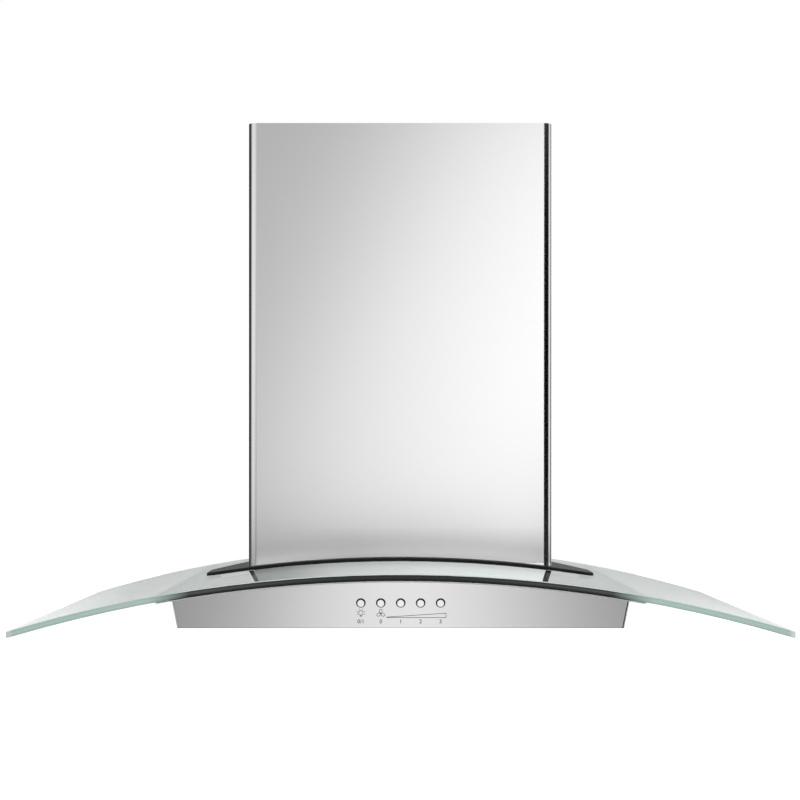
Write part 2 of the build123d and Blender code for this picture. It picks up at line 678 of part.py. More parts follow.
def filter_mesh(side):
    """The pad of expanded aluminium inside the rim, with its diamond openings."""
    wall = FILTER_WALL + SHEET_GAP
    x0 = FILTER_INNER_X + FILTER_SIDE_GAP + wall
    x1 = FILTER_OUTER_X - FILTER_SIDE_GAP - wall
    y0 = FILTER_FRONT + FILTER_FRONT_GAP + wall
    y1 = FILTER_REAR - FILTER_REAR_GAP - wall
    low = FILTER_UNDER + (FILTER_THICKNESS - MESH_THICKNESS) / 2
    pad = area(x0, x1, y0, y1)
    width = (x1 - x0 - 2 * FILTER_RIM) / MESH_COLUMNS
    depth = (y1 - y0 - 2 * FILTER_RIM) / MESH_ROWS
    diamond = make_face(
        Polyline(
            (width / 2 - MESH_STRAND, 0),
            (0, depth - MESH_STRAND),
            (MESH_STRAND - width / 2, 0),
            (0, MESH_STRAND - depth),
            close=True,
        )
    )
    for row in range(1, MESH_ROWS):
        shift = 0.5 * (row % 2)
        for column in range(MESH_COLUMNS - row % 2):
            x = x0 + FILTER_RIM + width * (column + 0.5 + shift)
            y = y0 + FILTER_RIM + depth * row
            pad -= Pos(x, y) * diamond
    mesh = extrude(Pos(0, 0, low) * pad, MESH_THICKNESS)
    return mesh if side > 0 else mirror(mesh, Plane.YZ)


def filter_catch(side):
    """The sprung steel tongue at the filter's front that snaps past the pan's edge, with its finger grip."""
    y_frame = FILTER_FRONT + FILTER_FRONT_GAP
    top = FILTER_TOP + SHEET_GAP
    half = CATCH_WIDTH / 2
    middle = FILTER_MIDDLE_X
    leaf_y = y_frame - MOVING_GAP - CATCH_SHEET
    leaf_foot = PAN_TOP + MOVING_GAP
    catch = block(middle - half, middle + half, leaf_y, y_frame + FILTER_RIM, top, top + CATCH_SHEET)
    catch += block(middle - half, middle + half, leaf_y, leaf_y + CATCH_SHEET, leaf_foot, top)
    return catch if side > 0 else mirror(catch, Plane.YZ)


def filter_grip(side):
    """A shallow finger cup let into the front of the filter."""
    y0 = FILTER_FRONT + FILTER_FRONT_GAP + FILTER_RIM + SHEET_GAP
    y1 = y0 + GRIP_DEPTH
    x0 = FILTER_MIDDLE_X - GRIP_WIDTH / 2
    x1 = x0 + GRIP_WIDTH
    low = FILTER_UNDER + SHEET_GAP
    high = FILTER_UNDER + (FILTER_THICKNESS - MESH_THICKNESS) / 2 - SHEET_GAP
    grip = block(x0, x1, y0, y1, low, high)
    grip = fillet(grip.edges().filter_by(Axis.Z), GRIP_DEPTH * 0.45)
    grip -= block(
        x0 + GRIP_END, x1 - GRIP_END, y0 + GRIP_SIDE, y1 - GRIP_SIDE, low - PAST, high - GRIP_FLOOR
    )
    return grip if side > 0 else mirror(grip, Plane.YZ)


def lamp_place(side):
    return Pos(side * LAMP_SPACING / 2, LAMP_Y, PAN_UNDER)


def lamp_housing(side):
    """A spun cup let into the pan, with a rim under it."""
    rim = disc_z(LAMP_RADIUS, -LAMP_SHEET, 0)
    rim = chamfer(rim.edges().group_by(Axis.Z)[0], LAMP_SHEET * 0.6)
    cup = rim + disc_z(LAMP_CUP_RADIUS, 0, LAMP_CUP_HEIGHT)
    cup = fillet(cup.edges().filter_by(GeomType.CIRCLE).group_by(Axis.Z)[-1], LAMP_CUP_ROUND)
    cup -= disc_z(LAMP_CUP_RADIUS - LAMP_SHEET, 0, LAMP_CUP_HEIGHT - LAMP_SHEET)
    cup -= disc_z(LENS_WINDOW, -PAST, LAMP_SHEET)
    return lamp_place(side) * cup


def lamp_lens(side):
    """The frosted glass, which lies on the rim inside the cup."""
    lens = disc_z(LAMP_CUP_RADIUS - LAMP_SHEET - SHEET_GAP, 0, LENS_THICKNESS)
    return lamp_place(side) * Pos(0, 0, SHEET_GAP) * lens


def lamp_bulb(side):
    """The lamp and its holder, under the top of the cup."""
    top = LAMP_CUP_HEIGHT - LAMP_SHEET - SHEET_GAP
    holder = disc_z(BULB_RADIUS, top - BULB_HEIGHT / 2, top)
    bulb = disc_z(BULB_RADIUS * 0.7, top - BULB_HEIGHT, top - BULB_HEIGHT / 2)
    bulb = fillet(bulb.edges().group_by(Axis.Z)[0], BULB_RADIUS * 0.4)
    return lamp_place(side) * (holder + bulb)


# ---------------------------------------------------------------------------
# Push buttons
# ---------------------------------------------------------------------------

CAP_REAR = BUTTON_PROUD - BUTTON_CAP
STEM_END = CAP_REAR - STEM_LENGTH
SWITCH_FACE = CAP_REAR - BUTTON_TRAVEL - SWITCH_ROOM
SWITCH_REAR = SWITCH_FACE - SWITCH_DEPTH


def push_button(place):
    cap = disc_z(BUTTON_RADIUS, CAP_REAR, BUTTON_PROUD)
    cap = fillet(cap.edges().filter_by(GeomType.CIRCLE).group_by(Axis.Z)[-1], BUTTON_ROUND)
    return place * (cap + disc_z(STEM_RADIUS, STEM_END, CAP_REAR))


def switch_block():
    """The five interlocked switches in one moulding; each stem slides in its own bore."""
    half = SWITCH_WIDTH / 2
    body = block(-half, half, -SWITCH_HEIGHT / 2, SWITCH_HEIGHT / 2, SWITCH_REAR, SWITCH_FACE)
    body = chamfer(body.edges().filter_by(Axis.Z), 1.0)
    floor = STEM_END - BUTTON_TRAVEL - 0.5
    for x in BUTTON_XS:
        body -= Pos(x, 0, 0) * disc_z(STEM_RADIUS + MOVING_GAP, floor, SWITCH_FACE + PAST)
    return panel_place(0, BUTTON_HEIGHT) * body


def switch_bracket():
    """A folded sheet behind the panel whose two legs hold the switches."""
    inside = -BODY_SHEET - SHEET_GAP
    half = SWITCH_WIDTH / 2 + SHEET_GAP
    plate = block(
        -half - SWITCH_BRACKET_SHEET,
        half + SWITCH_BRACKET_SHEET,
        -SWITCH_HEIGHT / 2,
        SWITCH_HEIGHT / 2,
        inside - SWITCH_BRACKET_SHEET,
        inside,
    )
    for x in BUTTON_XS:
        plate -= Pos(x, 0, 0) * disc_z(BUTTON_HOLE, -PAST, PAST)
    for side in SIDES.values():
        plate += block(
            side * half,
            side * (half + SWITCH_BRACKET_SHEET),
            -SWITCH_HEIGHT / 2,
            SWITCH_HEIGHT / 2,
            SWITCH_REAR,
            inside,
        )
    return panel_place(0, BUTTON_HEIGHT) * plate


# ---------------------------------------------------------------------------
# Wall plate and air box
# ---------------------------------------------------------------------------


def wall_plate():
    half = WALL_PLATE_WIDTH / 2
    foot, top = level(WALL_PLATE_FOOT_HEIGHT), AIRBOX_TOP + WALL_PLATE_ABOVE
    plate = block(-half, half, -WALL_PLATE_SHEET, 0, foot, top)
    plate = fillet(plate.edges().filter_by(Axis.Y), WALL_PLATE_CORNER)
    for x in (-HANG_SPACING / 2, HANG_SPACING / 2):
        plate -= Pos(x, 0, 0) * disc_y(HANG_HOLE, -PAST, PAST)
        plate -= Pos(x, 0, level(LOCK_HEIGHT)) * disc_y(LOCK_HOLE, -PAST, PAST)
    for place in WALL_PLATE_SCREW_PLACES:
        plate -= place * screw_hole()
    return plate


AIRBOX_FOOT = level(AIRBOX_FOOT_HEIGHT)
AIRBOX_WALL_TOP = AIRBOX_TOP - AIRBOX_SHEET - SHEET_GAP
AIRBOX_INNER = AIRBOX_HALF - AIRBOX_SHEET


def air_box():
    """Front and sides in one folded sheet, with flanges turned in along the wall plate."""
    rear = -WALL_PLATE_SHEET
    front = -AIRBOX_DEPTH
    plan = area(-AIRBOX_HALF, AIRBOX_HALF, front, rear)
    plan -= area(-AIRBOX_INNER, AIRBOX_INNER, front + AIRBOX_SHEET, PAST)
    for side in SIDES.values():
        plan += area(side * (AIRBOX_HALF - AIRBOX_FLANGE), side * AIRBOX_HALF, rear - AIRBOX_SHEET, rear)
    box = extrude(Pos(0, 0, AIRBOX_FOOT) * plan, AIRBOX_WALL_TOP - AIRBOX_FOOT)
    for place in WALL_PLATE_SCREW_PLACES:
        box -= place * screw_hole()
    return box


def air_box_top():
    """The top sheet, which carries the collar, with a rim folded down inside the walls."""
    rear = -WALL_PLATE_SHEET
    front = -AIRBOX_DEPTH
    half = AIRBOX_INNER - SHEET_GAP
    top = block(-AIRBOX_HALF, AIRBOX_HALF, front, rear, AIRBOX_TOP - AIRBOX_SHEET, AIRBOX_TOP)
    low = AIRBOX_TOP - AIRBOX_SHEET - AIRBOX_RIM
    rim_front = front + AIRBOX_SHEET + SHEET_GAP
    rim_rear = rear - AIRBOX_SHEET - SHEET_GAP
    for side in SIDES.values():
        top += block(side * half, side * (half - AIRBOX_SHEET), rim_front, rim_rear, low, AIRBOX_TOP)
    top += block(-half, half, rim_front, rim_front + AIRBOX_SHEET, low, AIRBOX_TOP)
    top -= COLLAR_CENTRE * disc_z(COLLAR_RADIUS - COLLAR_WALL, -PAST, PAST)
    for place in COLLAR_SCREW_PLACES:
        top -= place * screw_hole()
    return top


# ---------------------------------------------------------------------------
# Blower
# ---------------------------------------------------------------------------


def scroll_outline():
    """The inside of the scroll, seen along the wheel's axis: quarter arcs whose radius grows
    at each quarter turn, then a straight outlet between the last wall and the tongue."""
    half = SCROLL_STEP / 2
    first, second, third = (-half, -half), (half, -half), (half, half)
    r1 = SCROLL_START_RADIUS
    r2 = r1 + SCROLL_STEP
    r3 = r2 + SCROLL_STEP
    top = AIRBOX_TOP - AIRBOX_SHEET - SHEET_GAP - level(WHEEL_HEIGHT)
    tongue_turn = math.radians(SCROLL_TONGUE_ANGLE)
    tongue = (first[0] + r1 * math.cos(tongue_turn), first[1] + r1 * math.sin(tongue_turn))
    lines = [
        Line((third[0] + r3, top), (third[0] + r3, third[1])),
        CenterArc(third, r3, 0, -90),
        CenterArc(second, r2, 270, -90),
        CenterArc(first, r1, 180, -(180 - SCROLL_TONGUE_ANGLE)),
        Line(tongue, (tongue[0], top)),
        Line((tongue[0], top), (third[0] + r3, top)),
    ]
    return make_face(lines), tongue[0], third[0] + r3, top


def along_x(sketch, x0, x1):
    """A profile drawn in y and z, swept from x0 to x1 round the wheel's axis."""
    return Pos(x0, 0, 0) * extrude(Plane.YZ * sketch, x1 - x0)


def scroll_housing():
    inside, outlet_near, outlet_far, top = scroll_outline()
    outside = offset(inside, SCROLL_SHEET, kind=Kind.ARC)
    wide = SCROLL_HALF + SCROLL_SHEET
    shell = along_x(outside, -wide, wide) - along_x(inside, -SCROLL_HALF, SCROLL_HALF)
    shell -= block(-wide, wide, outlet_near - PAST, outlet_far + PAST, top, top + PAST)
    shell -= disc_x(INLET_RADIUS, -wide - PAST, wide + PAST)
    for side in SIDES.values():
        flange = side * wide, side * (wide + SCROLL_FLANGE)
        shell += block(*flange, outlet_near, outlet_far, top - SCROLL_SHEET, top)
    shell = WHEEL_CENTRE * shell
    for place in MOTOR_SCREW_PLACES:
        shell -= place * screw_hole()
    return shell


def blade():
    """One forward-curved blade, as a thin arc between the wheel's inner and outer radius."""
    root = Vector(WHEEL_RADIUS - BLADE_DEPTH, 0)
    sweep = math.radians(BLADE_SWEEP)
    reach = WHEEL_RADIUS - BLADE_INSET
    tip = Vector(reach * math.cos(sweep), reach * math.sin(sweep))
    along = (tip - root).normalized()
    back = Vector(along.Y, -along.X)
    middle = (root + tip) * 0.5 + back * BLADE_BOW
    face = back * -BLADE_THICKNESS
    return make_face(
        [
            ThreePointArc(root, middle, tip),
            Line(tip, tip + face),
            ThreePointArc(tip + face, middle + face, root + face),
            Line(root + face, root),
        ]
    )


def impeller():
    """The wheel: blades on both sides of a centre disc, tied by a ring at each end."""
    half = WHEEL_WIDTH / 2
    wheel = disc_x(WHEEL_RADIUS - BLADE_INSET, -WHEEL_DISC / 2, WHEEL_DISC / 2)
    ring_inner = WHEEL_RADIUS - WHEEL_RING_WIDTH
    for x in (-half, half - WHEEL_RING):
        ring = disc_x(WHEEL_RADIUS, x, x + WHEEL_RING)
        wheel += ring - disc_x(ring_inner, x - PAST, x + WHEEL_RING + PAST)
    one = along_x(blade(), -half + WHEEL_RING / 2, half - WHEEL_RING / 2)
    turns = [Rot(360 / BLADE_COUNT * i, 0, 0) * one for i in range(BLADE_COUNT)]
    wheel = wheel + turns
    wheel += disc_x(HUB_RADIUS, -HUB_BEHIND, HUB_LENGTH - HUB_BEHIND)
    wheel -= disc_x(SHAFT_RADIUS, -half, half)
    return WHEEL_CENTRE * wheel


NOSE_END = -HUB_BEHIND - MOTOR_HUB_GAP
BELL_END = NOSE_END - MOTOR_NOSE
STATOR_END = BELL_END - MOTOR_BELL
STATOR_START = STATOR_END - MOTOR_STATOR
MOTOR_START = STATOR_START - MOTOR_BELL
BRACKET_FACE = -(SCROLL_HALF + SCROLL_SHEET + BRACKET_STAND)
SHAFT_REAR = STATOR_START + SHAFT_SHORT


def motor_shaft():
    return WHEEL_CENTRE * disc_x(SHAFT_RADIUS, SHAFT_REAR, HUB_LENGTH - HUB_BEHIND + SHAFT_PROUD)


def motor():
    """Stator band between two end bells, with a mounting flange and a bearing nose."""
    band = disc_x(MOTOR_RADIUS, STATOR_START, STATOR_END)
    bells = disc_x(MOTOR_BELL_RADIUS, MOTOR_START, BELL_END)
    bells = fillet(bells.edges().filter_by(GeomType.CIRCLE), MOTOR_BELL_ROUND)
    nose = disc_x(MOTOR_NOSE_RADIUS, BELL_END, NOSE_END)
    flange = disc_x(MOTOR_FLANGE_RADIUS, BRACKET_FACE, BRACKET_FACE + MOTOR_FLANGE)
    body = band + bells + nose + flange
    body -= disc_x(SHAFT_RADIUS + SHAFT_GAP, SHAFT_REAR - 1, NOSE_END + 1)
    return WHEEL_CENTRE * body


def motor_bracket():
    """A ring behind the motor's flange, with three arms down to the scroll's side."""
    rear = BRACKET_FACE - BRACKET_SHEET
    foot = -(SCROLL_HALF + SCROLL_SHEET)
    half = BRACKET_ARM / 2
    end = BRACKET_REACH + BRACKET_SHEET
    ring = disc_x(MOTOR_FLANGE_RADIUS + BRACKET_RING, rear, BRACKET_FACE)
    for angle in BRACKET_ANGLES:
        arm = block(rear, BRACKET_FACE, -half, half, MOTOR_FLANGE_RADIUS, end)
        arm += block(rear, foot, -half, half, BRACKET_REACH, end)
        arm += block(foot - BRACKET_SHEET, foot, -half, half, BRACKET_REACH - BRACKET_FOOT, end)
        ring += Rot(angle, 0, 0) * arm
    ring -= disc_x(MOTOR_RADIUS + SHEET_GAP, rear - PAST, BRACKET_FACE + PAST)
    bracket = WHEEL_CENTRE * ring
    for place in MOTOR_SCREW_PLACES:
        bracket -= place * screw_hole()
    return bracket


CAPACITOR_X = AIRBOX_HALF - AIRBOX_SHEET - SHEET_GAP - STRAP_SHEET - SHEET_GAP - CAPACITOR_RADIUS
CAPACITOR_PLACE = Pos(CAPACITOR_X, -CAPACITOR_FROM_WALL, level(CAPACITOR_HEIGHT))


def run_capacitor():
    can = disc_z(CAPACITOR_RADIUS, 0, CAPACITOR_LENGTH)
    can = fillet(can.edges().filter_by(GeomType.CIRCLE), CAPACITOR_ROUND)
    return CAPACITOR_PLACE * can


def capacitor_strap():
    """A band round the capacitor with two feet against the air box's side."""
    outer = CAPACITOR_RADIUS + SHEET_GAP + STRAP_SHEET
    middle = CAPACITOR_LENGTH / 2
    band = disc_z(outer, middle - STRAP_WIDTH / 2, middle + STRAP_WIDTH / 2)
    for side in SIDES.values():
        band += block(
            outer - STRAP_SHEET,
            outer,
            0,
            side * (outer + STRAP_FOOT),
            middle - STRAP_WIDTH / 2,
            middle + STRAP_WIDTH / 2,
        )
    band -= disc_z(CAPACITOR_RADIUS + SHEET_GAP, -1, CAPACITOR_LENGTH + 1)
    return CAPACITOR_PLACE * band


# ---------------------------------------------------------------------------
# Duct collar and damper
# ---------------------------------------------------------------------------

FLAP_UNDER = COLLAR_WALL + FLAP_LEDGE_HEIGHT + MOVING_GAP
FLAP_AXIS = FLAP_UNDER + FLAP_PIN_RADIUS


def duct_collar():
    """A moulded spigot with a flange, a ledge that the flaps close on, and holes for their pins."""
    outer = disc_z(COLLAR_RADIUS, 0, COLLAR_WALL + COLLAR_HEIGHT)
    outer += disc_z(COLLAR_RADIUS + COLLAR_FLANGE, 0, COLLAR_WALL)
    inner = COLLAR_RADIUS - COLLAR_WALL
    collar = outer - disc_z(inner, -PAST, COLLAR_HEIGHT + PAST)
    ledge = disc_z(inner + COLLAR_WALL / 2, FLAP_LEDGE_HEIGHT, COLLAR_WALL + FLAP_LEDGE_HEIGHT)
    ledge -= disc_z(inner - FLAP_LEDGE, 0, COLLAR_HEIGHT)
    gap = block(-FLAP_LEDGE_BREAK, FLAP_LEDGE_BREAK, -inner, inner, 0, COLLAR_HEIGHT)
    collar += ledge - (gap & disc_z(inner, 0, COLLAR_HEIGHT))
    for side in SIDES.values():
        pin = Pos(side * FLAP_AXIS_OFFSET, 0, FLAP_AXIS)
        collar -= pin * disc_y(FLAP_PIN_RADIUS + SHAFT_GAP, -2 * COLLAR_RADIUS, 2 * COLLAR_RADIUS)
    collar = COLLAR_CENTRE * collar
    for place in COLLAR_SCREW_PLACES:
        collar -= place * screw_hole()
    return collar


def damper_flap(side):
    """Half a disc, with its hinge rod along the straight edge."""
    inner = COLLAR_RADIUS - COLLAR_WALL
    half_disc = Circle(inner - FLAP_MARGIN)
    half_disc &= area(side * FLAP_SPLIT, side * COLLAR_RADIUS, -COLLAR_RADIUS, COLLAR_RADIUS)
    flap = extrude(Pos(0, 0, FLAP_UNDER) * half_disc, FLAP_THICKNESS)
    reach = inner + FLAP_PIN_IN_WALL
    rod = Pos(side * FLAP_AXIS_OFFSET, 0, FLAP_AXIS) * disc_y(FLAP_PIN_RADIUS, -reach, reach)
    return COLLAR_CENTRE * (flap + rod)


# ---------------------------------------------------------------------------
# Flue covers
# ---------------------------------------------------------------------------


def channel_plan(half, front, rear, bend):
    """The plan of a folded flue cover: front, two sides and two narrow returns at the rear."""
    outer = rounded(area(-half, half, front, rear), bend, lambda v: v.Y < front / 2)
    inner = area(-half + FLUE_SHEET, half - FLUE_SHEET, front + FLUE_SHEET, rear - FLUE_SHEET)
    inner = rounded(inner, bend - FLUE_SHEET, lambda v: v.Y < front / 2)
    return outer - inner - area(-half + FLUE_RETURN, half - FLUE_RETURN, rear - PAST, rear + PAST)


def lower_flue_cover():
    plan = channel_plan(FLUE_HALF, FLUE_FRONT, 0, FLUE_BEND)
    foot = arch_height(FLUE_HALF, FLUE_FOOT_R) - PAST
    cover = extrude(Pos(0, 0, foot) * plan, FLUE_TOP - foot) - under_arch(FLUE_FOOT_R)
    for place in FLUE_SCREW_PLACES:
        cover -= place * screw_hole()
    return cover


UPPER_HALF = FLUE_HALF - FLUE_SHEET - SLIDE_GAP
UPPER_FRONT = FLUE_FRONT + FLUE_SHEET + SLIDE_GAP
UPPER_REAR = -(WALL_PLATE_SHEET + SLIDE_GAP)


def upper_flue_cover():
    plan = channel_plan(UPPER_HALF, UPPER_FRONT, UPPER_REAR, FLUE_BEND - FLUE_SHEET)
    return extrude(Pos(0, 0, FLUE_TOP - UPPER_FLUE_LENGTH) * plan, UPPER_FLUE_LENGTH - UPPER_FLUE_DROP)


def upper_flue_bracket():
    """The wall bracket at the top, cranked forward round the flue's returns to its sides."""
    sheet = FLUE_BRACKET_SHEET
    top = FLUE_TOP - FLUE_BRACKET_DROP
    low = top - FLUE_BRACKET_HEIGHT
    back_half = UPPER_HALF - FLUE_RETURN - FLUE_BRACKET_MARGIN
    side_half = UPPER_HALF - FLUE_SHEET - SHEET_GAP
    step = UPPER_REAR - FLUE_SHEET - FLUE_BRACKET_STEP
    bracket = block(-back_half, back_half, -sheet, 0, low, top)
    for side in SIDES.values():
        bracket += block(side * (back_half - sheet), side * back_half, step - sheet, 0, low, top)
        bracket += block(side * (back_half - sheet), side * side_half, step - sheet, step, low, top)
        bracket += block(side * (side_half - sheet), side * side_half, -FLUE_BRACKET_DEPTH, step, low, top)
        hole = Pos(side * FLUE_BRACKET_SPACING / 2, 0, (low + top) / 2)
        bracket -= hole * disc_y(FLUE_BRACKET_HOLE, -PAST, PAST)
    return bracket


def flue_clip(side):
    """A cranked clip between the air box's side and the lower cover's side."""
    inner = AIRBOX_HALF + SHEET_GAP
    outer = FLUE_HALF - FLUE_SHEET - SHEET_GAP
    y0 = -(CLIP_FROM_WALL + CLIP_WIDTH)
    y1 = -CLIP_FROM_WALL
    low = level(CLIP_HEIGHT) - CLIP_WIDTH / 2
    high = low + CLIP_WIDTH
    clip = block(side * inner, side * (inner + CLIP_SHEET), y0, y1, low - CLIP_TAIL, high)
    clip += block(side * inner, side * outer, y0, y1, low, low + CLIP_SHEET)
    clip += block(side * (outer - CLIP_SHEET), side * outer, y0, y1, low, high)
    for place in FLUE_SCREW_PLACES:
        clip -= place * screw_hole()
    return clip


# ---------------------------------------------------------------------------
# Terminal box
# ---------------------------------------------------------------------------

TERMINAL_X = COLLAR_RADIUS + COLLAR_FLANGE + TERMINAL_FROM_COLLAR
TERMINAL_FRONT = -(COLLAR_FROM_WALL + TERMINAL_LENGTH / 2)
TERMINAL_TOP = AIRBOX_TOP + SHEET_GAP + TERMINAL_HEIGHT
LID_TOP = TERMINAL_TOP + SHEET_GAP + TERMINAL_SHEET
GLAND_PLACE = Pos(TERMINAL_X + TERMINAL_WIDTH / 2, -COLLAR_FROM_WALL, LID_TOP)


def terminal_box():
    sheet = TERMINAL_SHEET
    low = AIRBOX_TOP + SHEET_GAP
    x1 = TERMINAL_X + TERMINAL_WIDTH
    rear = TERMINAL_FRONT + TERMINAL_LENGTH
    box = block(TERMINAL_X, x1, TERMINAL_FRONT, rear, low, TERMINAL_TOP)
    inside = area(TERMINAL_X + sheet, x1 - sheet, TERMINAL_FRONT + sheet, rear - sheet)
    return box - extrude(Pos(0, 0, low + sheet) * inside, TERMINAL_HEIGHT)


def terminal_box_cover():
    """A lid with two short sides that drop inside the box, and a hole for the gland."""
    sheet = TERMINAL_SHEET
    x1 = TERMINAL_X + TERMINAL_WIDTH
    rear = TERMINAL_FRONT + TERMINAL_LENGTH
    y0, y1 = TERMINAL_FRONT + TERMINAL_TAB_INSET, rear - TERMINAL_TAB_INSET
    lid = block(TERMINAL_X, x1, TERMINAL_FRONT, rear, LID_TOP - sheet, LID_TOP)
    inset = sheet + SHEET_GAP
    for x in (TERMINAL_X + inset, x1 - inset - sheet):
        lid += block(x, x + sheet, y0, y1, LID_TOP - sheet - TERMINAL_TAB, LID_TOP)
    return lid - GLAND_PLACE * disc_z(GLAND_RADIUS + SHEET_GAP, -PAST, PAST)


def cable_gland():
    """A gland through the lid, with a nut above and below it; the supply cable comes down the flue."""
    end = GLAND_NUT + GLAND_PROUD
    body = disc_z(GLAND_RADIUS, end - GLAND_LENGTH, end)
    nut = extrude(RegularPolygon(GLAND_NUT_RADIUS, 6), GLAND_NUT)
    body += Pos(0, 0, SHEET_GAP) * nut
    body += Pos(0, 0, -TERMINAL_SHEET - SHEET_GAP - GLAND_NUT) * nut
    return GLAND_PLACE * (body - disc_z(GLAND_BORE, end - GLAND_LENGTH - PAST, end + PAST))


# ---------------------------------------------------------------------------
# The nodes
# ---------------------------------------------------------------------------

BUTTON_NAMES = ["light_button", "fan_off_button", "fan_low_button", "fan_medium_button", "fan_high_button"]

nodes = {
    "glass_canopy": glass_canopy(),
    "glass_gasket": glass_gasket(),
    "glass_bushes": glass_bushes(),
    "clamp_plate": clamp_plate(),
    "body_shell": body_shell(),
    "body_deck": body_deck(),
    "body_back": body_back(),
    "bottom_pan": bottom_pan(),
    "switch_block": switch_block(),
    "switch_bracket": switch_bracket(),
    "wall_plate": wall_plate(),
    "air_box": air_box(),
    "air_box_top": air_box_top(),
    "scroll_housing": scroll_housing(),
    "impeller": impeller(),
    "motor_shaft": motor_shaft(),
    "motor": motor(),
    "motor_bracket": motor_bracket(),
    "run_capacitor": run_capacitor(),
    "capacitor_strap": capacitor_strap(),
    "duct_collar": duct_collar(),
    "lower_flue_cover": lower_flue_cover(),
    "upper_flue_cover": upper_flue_cover(),
    "upper_flue_bracket": upper_flue_bracket(),
    "terminal_box": terminal_box(),
    "terminal_box_cover": terminal_box_cover(),
    "cable_gland": cable_gland(),
    "glass_screws": group([place * screw(GLASS_SCREW_LENGTH) for place in GLASS_SCREW_PLACES]),
    "pan_screws": group([place * screw() for place in PAN_SCREW_PLACES]),
    "collar_screws": group([place * screw(SHORT_SCREW) for place in COLLAR_SCREW_PLACES]),
    "motor_screws": group([place * screw(SHORT_SCREW) for place in MOTOR_SCREW_PLACES]),
    "flue_screws": group([place * screw(SHORT_SCREW) for place in FLUE_SCREW_PLACES]),
    "wall_plate_screws": group([place * screw(SHORT_SCREW) for place in WALL_PLATE_SCREW_PLACES]),
}
for name, place in zip(BUTTON_NAMES, BUTTON_PLACES):
    nodes[name] = push_button(place)
for name, side in SIDES.items():
    nodes["damper_flap_" + name] = damper_flap(side)
    nodes["flue_clip_" + name] = flue_clip(side)
    nodes["filter_frame_" + name] = filter_frame(side)
    nodes["filter_mesh_" + name] = filter_mesh(side)
    nodes["filter_catch_" + name] = filter_catch(side)
    nodes["filter_grip_" + name] = filter_grip(side)
    nodes["lamp_housing_" + name] = lamp_housing(side)
    nodes["lamp_lens_" + name] = lamp_lens(side)
    nodes["lamp_bulb_" + name] = lamp_bulb(side)

for name, shape in nodes.items():
    export_step(one_solid(shape), "parts/" + name + ".step")
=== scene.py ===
# %% [markdown]
# # A curved glass range hood
# A wall hood has four things to look at: an arched sheet of glass, a shallow steel body that hangs
# under it, a dark plate that clamps the glass, and a square flue that telescopes up to the ceiling.
# The shapes come from a CAD frame in real metres. Here they get their finishes, the small pieces
# that CAD leaves plain, and the light and camera of the photograph.

# %% Load the frame
import math

import bmesh
import bpy
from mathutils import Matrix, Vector


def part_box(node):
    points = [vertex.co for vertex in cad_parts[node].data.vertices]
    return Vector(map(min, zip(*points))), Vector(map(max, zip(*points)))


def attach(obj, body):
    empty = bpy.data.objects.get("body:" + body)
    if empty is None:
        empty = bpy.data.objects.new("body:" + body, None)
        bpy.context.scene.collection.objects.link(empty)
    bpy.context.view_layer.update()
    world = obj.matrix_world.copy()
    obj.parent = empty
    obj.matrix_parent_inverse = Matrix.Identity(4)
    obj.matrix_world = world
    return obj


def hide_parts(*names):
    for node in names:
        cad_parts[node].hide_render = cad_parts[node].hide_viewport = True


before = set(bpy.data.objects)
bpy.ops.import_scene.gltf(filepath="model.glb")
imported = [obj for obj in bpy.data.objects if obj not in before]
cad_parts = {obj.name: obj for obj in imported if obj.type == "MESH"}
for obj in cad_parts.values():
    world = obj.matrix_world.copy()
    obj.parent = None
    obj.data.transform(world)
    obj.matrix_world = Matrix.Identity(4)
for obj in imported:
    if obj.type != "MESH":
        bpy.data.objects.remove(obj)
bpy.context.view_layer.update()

MM = 0.001

# %% A new object in the scene
def place(name, data):
    """Puts a mesh, a light or a camera into the scene."""
    piece = bpy.data.objects.new(name, data)
    bpy.context.scene.collection.objects.link(piece)
    return piece


# %% [markdown]
# ## The camera
# The photograph was taken square to the wall, from two metres away, and then cropped off centre.
# Turning a camera towards the hood would bend the flue's upright edges together. A view camera
# keeps them parallel: it looks straight at the wall and slides its lens, which is what the two
# shift values do.

# %% Place the camera
LENS = 74.71
camera_data = bpy.data.cameras.new("photo_camera")
camera_data.lens = LENS
camera_data.sensor_width = 36.0
camera_data.shift_x = 0.0054
camera_data.shift_y = 0.0805
camera_data.clip_start = 0.05
camera_data.clip_end = 60.0
camera = place("photo_camera", camera_data)
camera.location = (-0.0048, -2.066, -0.0635)
camera.rotation_euler = (math.radians(90), 0, 0)
bpy.context.scene.camera = camera
print("camera", tuple(camera.location), "lens", LENS)

# %% [markdown]
# ## Sums that turn into nodes
# A finish is a small calculation at every point of a surface. Written as node after node it is hard
# to read, so one class wraps a socket and lets Python's own +, -, * and / add the Math nodes. A
# second class holds the tree that is being built and adds every other kind of node.

